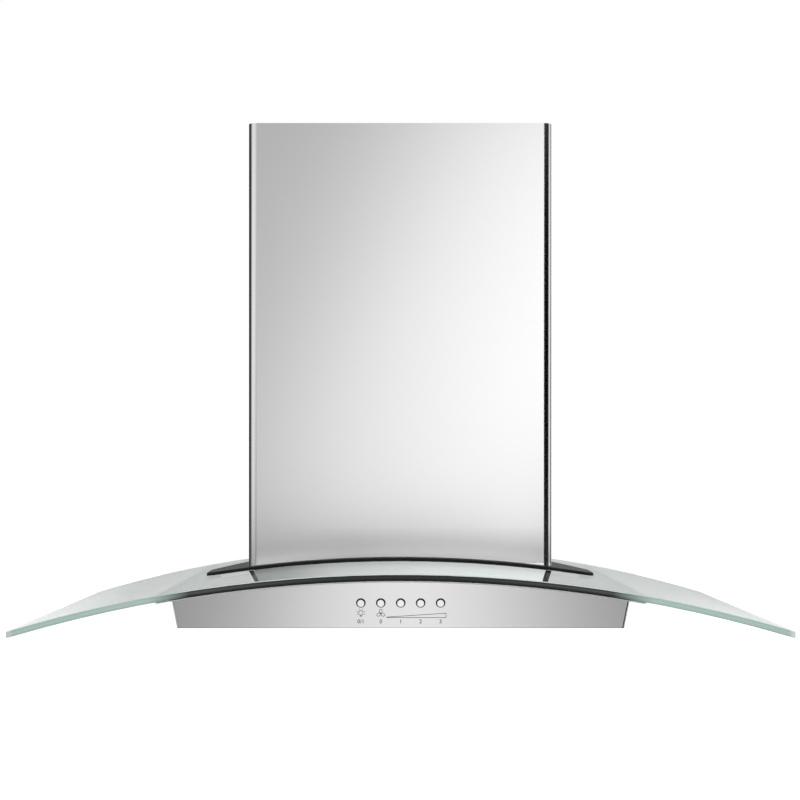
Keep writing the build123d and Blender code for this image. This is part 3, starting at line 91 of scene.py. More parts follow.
# %% A socket that does sums
class Wire:
    """One output of a node. A sum with it becomes a Math node."""

    def __init__(self, board, socket):
        self.board = board
        self.socket = socket

    def math(self, operation, *others):
        """This number first, then the others, if the operation takes more than one."""
        return self.board.sum(operation, self, *others)

    def __add__(self, other):
        return self.math("ADD", other)

    def __radd__(self, other):
        return self.board.sum("ADD", other, self)

    def __sub__(self, other):
        return self.math("SUBTRACT", other)

    def __rsub__(self, other):
        return self.board.sum("SUBTRACT", other, self)

    def __mul__(self, other):
        return self.math("MULTIPLY", other)

    def __rmul__(self, other):
        return self.board.sum("MULTIPLY", other, self)

    def __truediv__(self, other):
        return self.math("DIVIDE", other)

    def __gt__(self, other):
        return self.math("GREATER_THAN", other)

    def __lt__(self, other):
        return self.math("LESS_THAN", other)

    def __abs__(self):
        return self.math("ABSOLUTE")

    def at_most(self, other):
        return self.math("MINIMUM", other)

    def at_least(self, other):
        return self.math("MAXIMUM", other)

    def ramp(self, low, high):
        """0 below low, 1 above high, and an even slope between."""
        return ((self - low) / (high - low)).at_least(0.0).at_most(1.0)

    def out(self, name):
        """Another output of the same node."""
        return Wire(self.board, self.socket.node.outputs[name])


# %% A tree being built
class Board:
    """A node tree, and the one way to add nodes to it."""

    def __init__(self, tree):
        self.tree = tree
        tree.nodes.clear()

    def add(self, kind, settings=None, inputs=None, out=0):
        node = self.tree.nodes.new(kind)
        for name, value in (settings or {}).items():
            if name == "stops":
                self.set_stops(node.color_ramp.elements, value)
            else:
                setattr(node, name, value)
        for name, value in (inputs or {}).items():
            several = value if isinstance(value, list) else [value]
            for one in several:
                if isinstance(one, Wire):
                    self.tree.links.new(one.socket, node.inputs[name])
                else:
                    node.inputs[name].default_value = one
        return Wire(self, node.outputs[out]) if node.outputs else node

    def sum(self, operation, *values):
        return self.add("ShaderNodeMath", {"operation": operation}, dict(enumerate(values)))

    @staticmethod
    def set_stops(elements, stops):
        while len(elements) < len(stops):
            elements.new(0.5)
        for element, (spot, colour) in zip(elements, stops):
            element.position = spot
            element.color = (*colour, 1.0)

    def blend(self, share, first, second):
        """A colour between two colours."""
        first, second = (c if isinstance(c, Wire) else (*c, 1.0) for c in (first, second))
        return self.add("ShaderNodeMix", {"data_type": "RGBA"}, {0: share, 6: first, 7: second}, out=2)

    def times(self, colour, other, share=1.0):
        """A colour multiplied by a colour or a number."""
        settings = {"data_type": "RGBA", "blend_type": "MULTIPLY"}
        return self.add("ShaderNodeMix", settings, {0: share, 6: colour, 7: other}, out=2)


class Finish(Board):
    """A material whose patterns lie on the piece's own coordinates, in metres."""

    def __init__(self, name):
        self.material = bpy.data.materials.new(name)
        self.material.use_nodes = True
        super().__init__(self.material.node_tree)
        self.place = self.add("ShaderNodeTexCoord", out="Object")
        apart = self.add("ShaderNodeSeparateXYZ", None, {0: self.place})
        self.x, self.y, self.z = (apart.out(axis) for axis in "XYZ")

    def noise(self, scale, detail=2.0, roughness=0.5):
        """Even noise for one number, stretched noise for three. Scales are per metre."""
        steps = scale if isinstance(scale, tuple) else (scale,) * 3
        spot = self.add("ShaderNodeMapping", None, {"Vector": self.place, "Scale": steps})
        inputs = {"Vector": spot, "Scale": 1.0, "Detail": detail, "Roughness": roughness}
        return self.add("ShaderNodeTexNoise", None, inputs)

    def grey_between(self, share, dark, light):
        return self.blend(share, (dark,) * 3, (light,) * 3)

    def bump(self, height, depth, strength=1.0):
        inputs = {"Height": height, "Distance": depth, "Strength": strength}
        return self.add("ShaderNodeBump", None, inputs)

    def skin(self, **sockets):
        names = {key: key.replace("_", " ").title().replace("Ior", "IOR") for key in sockets}
        fixed = {names[key]: self.whole(value) for key, value in sockets.items()}
        return self.add("ShaderNodeBsdfPrincipled", None, fixed)

    @staticmethod
    def whole(value):
        return (*value, 1.0) if isinstance(value, tuple) and len(value) == 3 else value

    def show(self, shader):
        self.add("ShaderNodeOutputMaterial", None, {"Surface": shader})
        print("finish", self.material.name, "with", len(self.tree.nodes), "nodes")
        return self.material


# %% [markdown]
# ## Brushed stainless steel
# The flue and the body are cut from sheet that was drawn under an abrasive belt. The belt leaves
# thousands of short parallel scratches, so a lamp's reflection is pulled out across them while it
# stays crisp along them. Noise that is stretched over a hundred times in one direction gives the
# scratches: it moves the roughness a little and lifts a very shallow bump. The grain runs upwards
# on the flue and lengthwise on the body, so one recipe takes the three scales.
#
# Three places differ from the flat sheet. Where the body's front turns under at its lowest
# millimetre a thin dark line is painted into the colour, a painted reflection of the dark side of
# the room. The flue's foot is painted darker, a painted reflection of the plate. The deck's bare
# cut edge is painted pale and not metallic at its two free ends, a painted highlight.

# %% Brushed steel
# The dark colour is a painted reflection, the pale one a painted highlight.
PAINTED_DARK_REFLECTION, PAINTED_PALE_HIGHLIGHT = (0.08, 0.08, 0.08), (0.86, 0.90, 0.88)
FOLD_DARKNESS, FOOT_DARKNESS = 0.75, 0.38
FOOT_SHADE_HEIGHT, FOOT_SHADE_END = 34 * MM, -170 * MM
FOOT_SHADE_GROWS = (-150 * MM, -50 * MM)
DECK_FRONT = -486 * MM
TONE_SPREAD = 0.008
BEYOND = 1000 * MM


def brushed_steel(
    name, grain, tone=0.62, roughness=0.15, fold_below=-BEYOND, foot=-BEYOND, free_ends=BEYOND
):
    """Brushed sheet. A fold and a foot get a painted dark reflection, free ends a pale painted highlight;
    one that is left beyond the hood stays unpainted.
    """
    make = Finish(name)
    scratches = make.noise(grain, detail=3.0, roughness=0.65)
    clouds = make.noise(7.0, detail=2.0)
    shade = scratches * 0.7 + clouds * 0.3
    face = make.grey_between(shade, tone - TONE_SPREAD, tone + TONE_SPREAD)
    # Painted reflection: the thin dark line under the body's fold and the darker flue foot.
    fold = (make.z < fold_below) * FOLD_DARKNESS
    near_foot = 1.0 - make.z.ramp(foot, foot + FOOT_SHADE_HEIGHT)
    painted_foot_reflection = near_foot * (make.z > FOOT_SHADE_END) * make.x.ramp(*FOOT_SHADE_GROWS) * FOOT_DARKNESS
    shaded = make.blend(fold + painted_foot_reflection, face, PAINTED_DARK_REFLECTION)
    # Painted highlight: the deck's cut edge at its free ends is pale and not metallic.
    painted_edge_highlight = (abs(make.x) > free_ends) * (make.y < DECK_FRONT)
    return make.show(
        make.skin(
            base_color=make.blend(painted_edge_highlight, shaded, PAINTED_PALE_HIGHLIGHT),
            metallic=1.0 - painted_edge_highlight,
            roughness=(scratches - 0.5) * 0.03 + (clouds - 0.5) * 0.02 + roughness,
            normal=make.bump(scratches, 0.000001, 0.12),
        )
    )


FINE, LONG = 1500.0, 9.0
flue_steel = brushed_steel("flue_steel_grain_upright", (FINE, FINE, LONG), foot=-164 * MM)
body_steel = brushed_steel("body_steel_grain_level", (LONG, LONG, FINE), fold_below=-219.5 * MM)
pan_steel = brushed_steel("pan_steel_grain_level", (LONG, FINE, FINE), roughness=0.24)
deck_steel = brushed_steel(
    "deck_steel_satin", (LONG, FINE, FINE), tone=0.7, roughness=0.36, free_ends=217 * MM
)

# %% [markdown]
# ## Zinc-coated sheet
# Inside the flue nobody looks, so the air box, the scroll and the brackets are galvanised. Molten
# zinc freezes into flat crystals, each with its own grey, called spangle. Voronoi cells are those
# crystals: one random grey per cell, a little noise inside it, and a dull roughness.

# %% Galvanised sheet
CRYSTALS_PER_METRE = 140.0


def zinc_sheet():
    make = Finish("zinc_spangle")
    cells = {"Vector": make.place, "Scale": CRYSTALS_PER_METRE}
    crystal = make.add("ShaderNodeTexVoronoi", None, cells, out="Color")
    grey = make.add("ShaderNodeSeparateColor", None, {0: crystal})
    frost = make.noise(900.0, detail=2.0)
    shade = grey * 0.75 + frost * 0.25
    return make.show(
        make.skin(
            base_color=make.blend(shade, (0.40, 0.415, 0.425), (0.60, 0.615, 0.62)),
            metallic=1.0,
            roughness=grey * 0.14 + 0.36,
            normal=make.bump(frost, 0.00002, 0.4),
        )
    )


zinc = zinc_sheet()

# %% [markdown]
# ## Glass
# Float glass looks clear through its faces and green at its edge, because there the light has come
# a long way through it. Tracing that long way takes many bounces, so the ground edge is its own
# finish: where the surface stands too steep to be one of the two faces, the clear shader gives way
# to a soft green one. Over the body a black seal lies right behind the edge, so there the edge is
# painted nearly black, a painted reflection of the seal, with a painted glint along its middle that
# grows towards the ends; the colour goes from black to green just outside the body. The bevel over
# the body is a pale painted highlight. At the two front corners, where the edge turns round, it is
# painted paler, a painted highlight.

# %% Canopy glass
STEEPEST_FACE = 0.85
BEVEL_SLOPE = 0.4
GLASS_FRONT = -480 * MM
ARCH_AXIS_Z, ARCH_MIDDLE, ARCH_TOP = -1467 * MM, 1297 * MM, 1300 * MM
EDGE_CORE = 2.6 * MM
SEAL_ENDS = (200 * MM, 239 * MM)
GLIMMER_GROWS = (50 * MM, 190 * MM)
CORNER_SIDE, CORNER_FRONT = (366 * MM, 371 * MM), -488 * MM
CLEAR_GLASS, PAINTED_PALE_REFLECTION = (0.945, 0.985, 0.968), (0.70, 0.75, 0.74)


def arch_radius(make):
    """How far a point is from the axis that the glass is bent round."""
    above_axis = make.z - ARCH_AXIS_Z
    return (make.x * make.x + above_axis * above_axis).math("SQRT")


def canopy_glass():
    make = Finish("canopy_glass")
    facing = make.add("ShaderNodeSeparateXYZ", None, {0: make.place.out("Normal")})
    rim = abs(facing.out("Z")) < STEEPEST_FACE
    clear = make.skin(base_color=CLEAR_GLASS, roughness=0.0, ior=1.52, transmission_weight=1.0)
    uneven = make.noise((30.0, 30.0, 400.0), detail=2.0)
    core = 1.0 - (abs(arch_radius(make) - ARCH_MIDDLE) / EDGE_CORE).at_most(1.0)
    green = make.blend(uneven * 0.3 + core * 0.7, (0.44, 0.60, 0.53), (0.58, 0.75, 0.67))
    # Painted highlight: the edge is paler at the two front corners.
    corner = abs(make.x).ramp(*CORNER_SIDE) * (make.y < CORNER_FRONT)
    green = make.blend(corner, green, (0.82, 0.90, 0.87))
    # Painted reflection of the black seal over the body, with a painted glint in the edge's middle.
    painted_glint = make.blend(abs(make.x).ramp(*GLIMMER_GROWS), (0.035, 0.042, 0.040), (0.095, 0.11, 0.105))
    black = make.blend(core, (0.003, 0.004, 0.004), painted_glint)
    # Painted highlight: the bevel over the body is pale.
    painted_light_over_body = make.blend(facing.out("Z") > BEVEL_SLOPE, black, PAINTED_PALE_REFLECTION)
    outside = abs(make.x).ramp(*SEAL_ENDS).at_least(make.y > GLASS_FRONT)
    ground = make.skin(
        base_color=make.blend(outside, painted_light_over_body, green),
        roughness=uneven * 0.1 + 0.3,
        specular_ior_level=0.2,
    )
    return make.show(make.add("ShaderNodeMixShader", None, {0: rim, 1: clear, 2: ground}))


canopy = canopy_glass()

# %% [markdown]
# ## Lacquer, rubber and moulded plastics
# These are not metals: they have a body colour under a thin reflection. What tells them apart is
# the size and depth of their texture. Lacquer has a faint orange peel, moulded plastic a fine spark
# texture, rubber is dull. One recipe takes the colours, the gloss and the texture, which is how
# many grains there are to a metre, and how deep they are in metres.

# %% Painted and moulded finishes
ORANGE_PEEL = (700.0, 0.00003)
WAXY = (900.0, 0.00003)
SPARK = (2200.0, 0.00005)
DEEP_SPARK = (2000.0, 0.00006)
INKY = (3000.0, 0.00001)


def moulded(name, dark, light, gloss, surface, shine=0.5):
    make = Finish(name)
    grain, depth = surface
    texture = make.noise(grain, detail=2.0)
    clouds = make.noise(20.0, detail=1.0)
    return make.show(
        make.skin(
            base_color=make.blend(clouds * 0.6 + texture * 0.4, dark, light),
            roughness=gloss + (texture - 0.5) * 0.08,
            specular_ior_level=shine,
            normal=make.bump(texture, depth, 0.5),
        )
    )


plate_lacquer = moulded(
    "plate_lacquer", (0.007, 0.008, 0.0085), (0.011, 0.012, 0.0125), 0.45, ORANGE_PEEL, shine=0.15
)
SEAL_LEAVES_BODY = (217 * MM, 222 * MM)


def seal_finish():
    """Black over the body, and the green of the glass where its ends lie free under it."""
    make = Finish("seal_rubber")
    texture = make.noise(1500.0)
    black = make.grey_between(texture, 0.012, 0.022)
    free = abs(make.x).ramp(*SEAL_LEAVES_BODY)
    return make.show(
        make.skin(
            base_color=make.blend(free, black, (0.56, 0.68, 0.63)),
            roughness=texture * 0.1 + 0.6,
            normal=make.bump(texture, 0.00005, 0.5),
        )
    )


seal_rubber = seal_finish()
natural_nylon = moulded("natural_nylon", (0.62, 0.61, 0.56), (0.70, 0.69, 0.65), 0.4, WAXY)
black_moulding = moulded("black_moulding", (0.022, 0.022, 0.024), (0.032, 0.032, 0.034), 0.45, SPARK)
wheel_moulding = moulded("wheel_moulding", (0.055, 0.056, 0.06), (0.075, 0.076, 0.08), 0.5, SPARK)
grip_moulding = moulded("grip_moulding", (0.03, 0.03, 0.032), (0.045, 0.045, 0.047), 0.38, DEEP_SPARK)
print_ink = moulded("print_ink", (0.045, 0.045, 0.05), (0.06, 0.06, 0.065), 0.5, INKY)

# %% [markdown]
# ## Bright small metals
# Buttons, lamp rims, screws, catches and the filters are metals with different polish. The recipe
# is the steel's, with even noise instead of stretched noise, because small parts are tumbled, spun
# or plated and not belt-brushed.

# %% Plated and plain metals
def bright_metal(name, dark, light, roughness, grain=600.0, depth=0.00001):
    make = Finish(name)
    marks = make.noise(grain, detail=3.0, roughness=0.6)
    return make.show(
        make.skin(
            base_color=make.blend(marks, dark, light),
            metallic=1.0,
            roughness=(marks - 0.5) * 0.12 + roughness,
            normal=make.bump(marks, depth, 0.5),
        )
    )


rim_chrome = bright_metal("rim_chrome", (0.70, 0.70, 0.71), (0.80, 0.80, 0.81), 0.22)
screw_plating = bright_metal("screw_plating", (0.56, 0.56, 0.57), (0.68, 0.68, 0.69), 0.3)
spring_strip = bright_metal("spring_strip", (0.48, 0.48, 0.50), (0.60, 0.60, 0.61), 0.3)
filter_rim = bright_metal("filter_rim_aluminium", (0.66, 0.67, 0.68), (0.76, 0.77, 0.78), 0.34, 300.0)
filter_wire = bright_metal("filter_strand_aluminium", (0.70, 0.71, 0.72), (0.82, 0.83, 0.84), 0.3, 1800.0)

# %% Button caps
OUT_Y, OUT_Z = -0.985, -0.17
FLAT_FACE, LOOKS_UP = (0.93, 0.985), (-0.75, 0.35)


def button_cap():
    """Bright on the flat face; the rounded rim has a painted shade, dark where it looks up into its hole
    and lighter where it looks down.
    """
    make = Finish("button_cap")
    facing = make.add("ShaderNodeSeparateXYZ", None, {0: make.place.out("Normal")})
    flat = (facing.out("Y") * OUT_Y + facing.out("Z") * OUT_Z).ramp(*FLAT_FACE)
    # Painted shade on the rim, darkest where it looks up.
    rim = make.grey_between(facing.out("Z").ramp(*LOOKS_UP), 0.52, 0.05)
    turned = make.noise(900.0, detail=2.0)
    face = make.grey_between(turned, 0.66, 0.76)
    return make.show(
        make.skin(base_color=make.blend(flat, rim, face), metallic=1.0, roughness=turned * 0.06 + 0.14)
    )


button_chrome = button_cap()

# %% [markdown]
# ## The motor and the lamps
# The motor's middle is a stack of thin steel laminations, so fine dark lines run round it, and its
# two end bells are plated. A sine wave along the axle draws the lines, only between the two ends of
# the stack. The lamp's lens is ground glass: milky, because every scratch bends the light.

# %% Motor and lamp finishes
STACK = (-68 * MM, -28 * MM)
LAMINATION = 0.65 * MM


def motor_finish():
    make = Finish("motor_stack_and_bells")
    in_stack = (make.x > STACK[0]) * (make.x < STACK[1])
    wave = (make.x * (2 * math.pi / LAMINATION)).math("SINE")
    gap = (wave * 0.5 + 0.5) * in_stack
    specks = make.noise(500.0)
    plated = make.grey_between(specks, 0.42, 0.52)
    laminated = make.grey_between(gap, 0.20, 0.07)
    return make.show(
        make.skin(
            base_color=make.blend(in_stack, plated, laminated),
            metallic=1.0,
            roughness=in_stack * 0.2 + 0.3,
            normal=make.bump(gap, -0.0001, 0.7),
        )
    )


def ground_lens():
    make = Finish("ground_lens")
    frost = make.noise(2500.0, detail=2.0)
    return make.show(
        make.skin(
            base_color=make.grey_between(frost, 0.88, 0.95),
            roughness=0.55,
            ior=1.5,
            transmission_weight=0.55,
            normal=make.bump(frost, 0.00006, 0.6),
        )
    )


motor_stack = motor_finish()
lens_glass = ground_lens()

# %% [markdown]
# ## Which finish goes where
# Each CAD piece keeps its shape and takes a finish by its name.

# %% Dress the CAD pieces
def pair(*names):
    return [f"{name}_{side}" for name in names for side in ("left", "right")]


BUTTONS = ["light_button", "fan_off_button", "fan_low_button", "fan_medium_button", "fan_high_button"]
dressing = {
    canopy: ["glass_canopy"],
    flue_steel: ["lower_flue_cover", "upper_flue_cover"],
    body_steel: ["body_shell"],
    pan_steel: ["bottom_pan"],
    deck_steel: ["body_deck"],
    zinc: [
        "body_back", "wall_plate", "air_box", "air_box_top", "scroll_housing", "motor_bracket",
        "capacitor_strap", "switch_bracket", "terminal_box", "terminal_box_cover", "upper_flue_bracket",
        *pair("flue_clip"),
    ],
    plate_lacquer: ["clamp_plate"],
    seal_rubber: ["glass_gasket"],
    natural_nylon: ["glass_bushes", "cable_gland"],
    black_moulding: ["switch_block", "run_capacitor", "duct_collar", *pair("damper_flap")],
    wheel_moulding: ["impeller"],
    grip_moulding: pair("filter_grip"),
    motor_stack: ["motor", "motor_shaft"],
    button_chrome: BUTTONS,
    rim_chrome: pair("lamp_housing"),
    lens_glass: pair("lamp_lens", "lamp_bulb"),
    filter_rim: pair("filter_frame"),
    spring_strip: pair("filter_catch"),
}
for material, names in dressing.items():
    for name in names:
        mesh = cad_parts[name].data
        mesh.materials.clear()
        mesh.materials.append(material)
print("dressed", sum(len(names) for names in dressing.values()), "CAD pieces")

# %% [markdown]
# ## Shapes that grow from rules
# Screws and expanded metal are the same small form over and over, so Geometry Nodes make them. A
# tree gets its sizes from named inputs, and the result is turned into a plain mesh that rides on a
# body of the frame. Two helpers do this for every such piece.

# %% A tree with named inputs
KINDS = {float: "NodeSocketFloat", int: "NodeSocketInt", tuple: "NodeSocketVector"}


def growing_tree(name, sizes):
    """A geometry tree with a socket for each size, and one for the material."""
    tree = bpy.data.node_groups.new(name, "GeometryNodeTree")
    board = Board(tree)
    tree.interface.new_socket("Geometry", in_out="INPUT", socket_type="NodeSocketGeometry")
    for label, value in sizes.items():
        tree.interface.new_socket(label, in_out="INPUT", socket_type=KINDS[type(value)])
    tree.interface.new_socket("Material", in_out="INPUT", socket_type="NodeSocketMaterial")
    tree.interface.new_socket("Geometry", in_out="OUTPUT", socket_type="NodeSocketGeometry")
    return tree, board, board.add("NodeGroupInput")


def finish_tree(board, start, geometry):
    """Ends the tree: instances become mesh, and the mesh gets its material."""
    real = board.add("GeometryNodeRealizeInstances", None, {"Geometry": geometry})
    inputs = {"Geometry": real, "Material": start.out("Material")}
    board.add("NodeGroupOutput", None, {0: board.add("GeometryNodeSetMaterial", None, inputs)})


# %% Grow a piece and keep the plain mesh
def plain_mesh(piece):
    """The mesh that a piece's modifiers, or its letters, come to."""
    bpy.context.view_layer.update()
    depsgraph = bpy.context.evaluated_depsgraph_get()
    return bpy.data.meshes.new_from_object(piece.evaluated_get(depsgraph), depsgraph=depsgraph)


def grow(name, tree, sizes, material, seed_mesh=None):
    """A piece from a growing tree, with that tree's result as its own mesh."""
    piece = place(name, seed_mesh or bpy.data.meshes.new(name))
    modifier = piece.modifiers.new(name, "NODES")
    modifier.node_group = tree
    for socket in tree.interface.items_tree:
        if socket.in_out == "INPUT" and socket.name in sizes:
            modifier[socket.identifier] = sizes[socket.name]
        if socket.in_out == "INPUT" and socket.name == "Material":
            modifier[socket.identifier] = material
    mesh = plain_mesh(piece)
    piece.modifiers.clear()
    piece.data = mesh
    print(name, "has", sum(len(p.vertices) - 2 for p in mesh.polygons), "triangles")
    return piece


# %% [markdown]
# ## Screws
# Every screw of the hood is a pan-head machine screw with a cross recess. The CAD screws have the
# right place and size but a blank head. The head here is a disc that is drawn up in four rings,
# which narrow towards the top, so that it is domed. Two bars, cut away by a Boolean, leave the
# cross. The place and the direction of each screw are read from the CAD screw's own box.

# %% Screw tree
SCREW_SIZES = {
    "Head Radius": 3.8 * MM, "Head Height": 2.0 * MM, "Shank Radius": 2.0 * MM, "Shank Length": 8.0 * MM,
    "Recess Width": 0.95 * MM, "Recess Reach": 4.2 * MM, "Recess Depth": 1.2 * MM,
}
DOME = [(0.45, 1.0), (0.25, 0.955), (0.18, 0.90), (0.12, 0.74)]
HEAD_SIDES, SHANK_SIDES = 28, 20
WELD = 0.01 * MM


def screw_tree():
    tree, board, start = growing_tree("pan_head_screw", SCREW_SIZES)
    height, depth, length = (start.out(name) for name in ("Head Height", "Recess Depth", "Shank Length"))
    reach, width = start.out("Recess Reach"), start.out("Recess Width")

    def disc():
        inputs = {"Vertices": HEAD_SIDES, "Radius": start.out("Head Radius")}
        return board.add("GeometryNodeMeshCircle", {"fill_type": "NGON"}, inputs)

    def moved(geometry, up):
        shift = board.add("ShaderNodeCombineXYZ", None, {2: up})
        inputs = {"Geometry": geometry, "Translation": shift}
        return board.add("GeometryNodeTransform", None, inputs)

    head = disc()
    top = None
    for rise, shrink in DOME:
        inputs = {"Mesh": head, "Offset Scale": height * rise, "Individual": False}
        if top:
            inputs["Selection"] = top
        head = board.add("GeometryNodeExtrudeMesh", {"mode": "FACES"}, inputs)
        top = head.out("Top")
        inputs = {"Geometry": head, "Selection": top, "Scale": shrink}
        head = board.add("GeometryNodeScaleElements", None, inputs)
    base = board.add("GeometryNodeFlipFaces", None, {"Mesh": disc()})
    closed = board.add("GeometryNodeJoinGeometry", None, {"Geometry": [head, base]})
    closed = board.add("GeometryNodeMergeByDistance", None, {"Geometry": closed, "Distance": WELD})
    bars = []
    for along_x, along_y in ((reach, width), (width, reach)):
        size = board.add("ShaderNodeCombineXYZ", None, {0: along_x, 1: along_y, 2: depth * 2.0})
        bars.append(moved(board.add("GeometryNodeMeshCube", None, {"Size": size}), height))
    solids = {"Mesh 1": closed, "Mesh 2": bars}
    cut = board.add("GeometryNodeMeshBoolean", {"operation": "DIFFERENCE"}, solids)
    inputs = {"Vertices": SHANK_SIDES, "Radius": start.out("Shank Radius"), "Depth": length}
    shank = moved(board.add("GeometryNodeMeshCylinder", None, inputs), length * -0.5)
    whole = board.add("GeometryNodeJoinGeometry", None, {"Geometry": [cut, shank]})
    turn = board.add(
        "GeometryNodeInputNamedAttribute", {"data_type": "FLOAT_VECTOR"}, {"Name": "turn"}
    )
    inputs = {"Points": start.out("Geometry"), "Instance": whole, "Rotation": turn}
    placed = board.add("GeometryNodeInstanceOnPoints", None, inputs)
    finish_tree(board, start, placed)
    return tree


screws_grow = screw_tree()


# %% Where the CAD screws are
SAME_SPOT = 0.001 * MM


def islands(node):
    """The box of each separate solid in a CAD node, from a merged copy of its mesh."""
    work = bmesh.new()
    work.from_mesh(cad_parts[node].data)
    bmesh.ops.remove_doubles(work, verts=work.verts, dist=SAME_SPOT)
    left, boxes = set(work.verts), []
    while left:
        found, edge = set(), [left.pop()]
        while edge:
            vert = edge.pop()
            found.add(vert)
            near = {e.other_vert(vert) for e in vert.link_edges} & left
            left -= near
            edge.extend(near)
        spots = [v.co for v in found]
        low = Vector(min(s[i] for s in spots) for i in range(3))
        high = Vector(max(s[i] for s in spots) for i in range(3))
        boxes.append((low, high))
    work.free()
    return boxes


def screw_spot(low, high, out):
    """Where the underside of the head is, and how the screw is turned, for a head that points out."""
    middle = (low + high) / 2
    reach = abs((high - low).dot(out))
    seat = middle + out * (reach / 2 - SCREW_SIZES["Head Height"])
    turn = Vector((0, 0, 1)).rotation_difference(out).to_euler()
    return seat, turn, reach - SCREW_SIZES["Head Height"]


# %% Grow the screws of every joint
DOWN, UP = Vector((0, 0, -1)), Vector((0, 0, 1))
LEFT, FORWARD = Vector((-1, 0, 0)), Vector((0, -1, 0))
SCREW_NODES = {
    "glass_screws": DOWN, "pan_screws": DOWN, "collar_screws": UP, "motor_screws": LEFT,
    "flue_screws": LEFT, "wall_plate_screws": FORWARD,
}
for node, out in SCREW_NODES.items():
    spots = []
    for low, high in islands(node):
        side = -out if node == "flue_screws" and low.x > 0 else out
        spots.append(screw_spot(low, high, side))
    points = bpy.data.meshes.new(node + "_points")
    points.from_pydata([seat for seat, turn, length in spots], [], [])
    turns = points.attributes.new("turn", "FLOAT_VECTOR", "POINT")
    for i, (seat, turn, length) in enumerate(spots):
        turns.data[i].vector = tuple(turn)
    sizes = {**SCREW_SIZES, "Shank Length": spots[0][2]}
    piece = grow(node + "_cross_head", screws_grow, sizes, screw_plating, points)
    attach(piece, "root")
    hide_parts(node)

# %% [markdown]
# ## The grease filters' expanded metal
# A grease filter is a pad of expanded aluminium: foil that is slit and pulled until each slit opens
# into a diamond. A picture of diamonds would go flat from the side. Here each crossing point of a
# grid carries two slanted strands, a second grid sits half a diamond away, and three layers lie on
# each other, the middle one slanted the other way. The strands are boxes, because there are
# thousands of them.

# %% Expanded metal tree
PAD_SIZES = {
    "Width": 160.0 * MM, "Depth": 270.0 * MM, "Columns": 18, "Rows": 60, "Strand Width": 0.9 * MM,
    "Strand Thickness": 0.35 * MM, "Place": (0.0, 0.0, 0.0),
}
LAYER_STEP = 1.6 * MM
LAYER_SIDES = (1.0, -1.0, 1.0)
ACROSS_START, ACROSS_STEP = -0.56, 0.31
ALONG_START, ALONG_STEP = -0.6, 0.37
STRAND_SHARE, STRAND_SLANT = 0.53, 0.55


def strand_pair(board, start, long_way, short_way, side):
    """Two strands that leave a crossing point, up and down."""
    strands = []
    length = (long_way.math("POWER", 2.0) + short_way.math("POWER", 2.0)).math("SQRT")
    for sign in (1.0, -1.0):
        box = {0: length * STRAND_SHARE, 1: start.out("Strand Width"), 2: start.out("Strand Thickness")}
        size = board.add("ShaderNodeCombineXYZ", None, box)
        angle = short_way.math("ARCTAN2", long_way) * sign
        turn = board.add("ShaderNodeCombineXYZ", None, {0: STRAND_SLANT * sign * side, 2: angle})
        shift = board.add("ShaderNodeCombineXYZ", None, {0: long_way * 0.25, 1: short_way * 0.25 * sign})
        cube = board.add("GeometryNodeMeshCube", None, {"Size": size})
        inputs = {"Geometry": cube, "Rotation": turn, "Translation": shift}
        strands.append(board.add("GeometryNodeTransform", None, inputs))
    return board.add("GeometryNodeJoinGeometry", None, {"Geometry": strands})


def pad_tree():
    tree, board, start = growing_tree("expanded_metal_pad", PAD_SIZES)
    width, depth = start.out("Width"), start.out("Depth")
    columns, rows = start.out("Columns"), start.out("Rows")
    long_way, short_way = width / columns, depth / rows
    layers = []
    for layer, side in enumerate(LAYER_SIDES):
        strands = strand_pair(board, start, long_way, short_way, side)
        for half in (0.0, 0.5):
            size = {
                "Size X": width - long_way, "Size Y": depth - short_way * 2.0,
                "Vertices X": columns, "Vertices Y": rows - 1.0,
            }
            grid = board.add("GeometryNodeMeshGrid", None, size)
            inputs = {"Points": grid, "Instance": strands}
            dotted = board.add("GeometryNodeInstanceOnPoints", None, inputs)
            across = long_way * (half + layer * ACROSS_STEP + ACROSS_START)
            along = short_way * (half + layer * ALONG_STEP + ALONG_START)
            lift = (layer - 1) * LAYER_STEP
            shift = board.add("ShaderNodeCombineXYZ", None, {0: across, 1: along, 2: lift})
            inputs = {"Geometry": dotted, "Translation": shift}
            layers.append(board.add("GeometryNodeTransform", None, inputs))
    pad = board.add("GeometryNodeJoinGeometry", None, {"Geometry": layers})
    inputs = {"Geometry": pad, "Translation": start.out("Place")}
    placed = board.add("GeometryNodeTransform", None, inputs)
    finish_tree(board, start, placed)
    return tree


pads_grow = pad_tree()

# %% Grow one pad for each filter
PAD_PLAY = 1.5 * MM
for side in ("left", "right"):
    low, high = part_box("filter_mesh_" + side)
    middle = (low + high) / 2
    sizes = {
        **PAD_SIZES, "Width": high.x - low.x - PAD_PLAY, "Depth": high.y - low.y - PAD_PLAY,
        "Place": tuple(middle),
    }
    piece = grow("filter_pad_" + side, pads_grow, sizes, filter_wire)
    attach(piece, "filter_" + side)
    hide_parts("filter_mesh_" + side)

# %% [markdown]
# ## The marks under the buttons
# The marks are screen-printed, a few hundredths of a millimetre of ink on a panel that leans back
# under the glass. They are drawn flat in millimetres, as strokes and rings, and then laid on the
# leaning panel. A lamp with rays, a fan with three lobes, a wedge for the speed, and plain numerals
# for on, off and the three speeds tell the cook what each button does.

# %% Draw flat strokes
INK_THICKNESS = 0.05
LEAN = math.radians(9.8)
PANEL_FOOT = (-479.88, -220.0)
SHARPEST_MITRE = 0.35


def round_spots(x, h, radius, turns):
    """Points at given turns of a circle."""
    return [(x + radius * math.cos(t), h + radius * math.sin(t)) for t in turns]


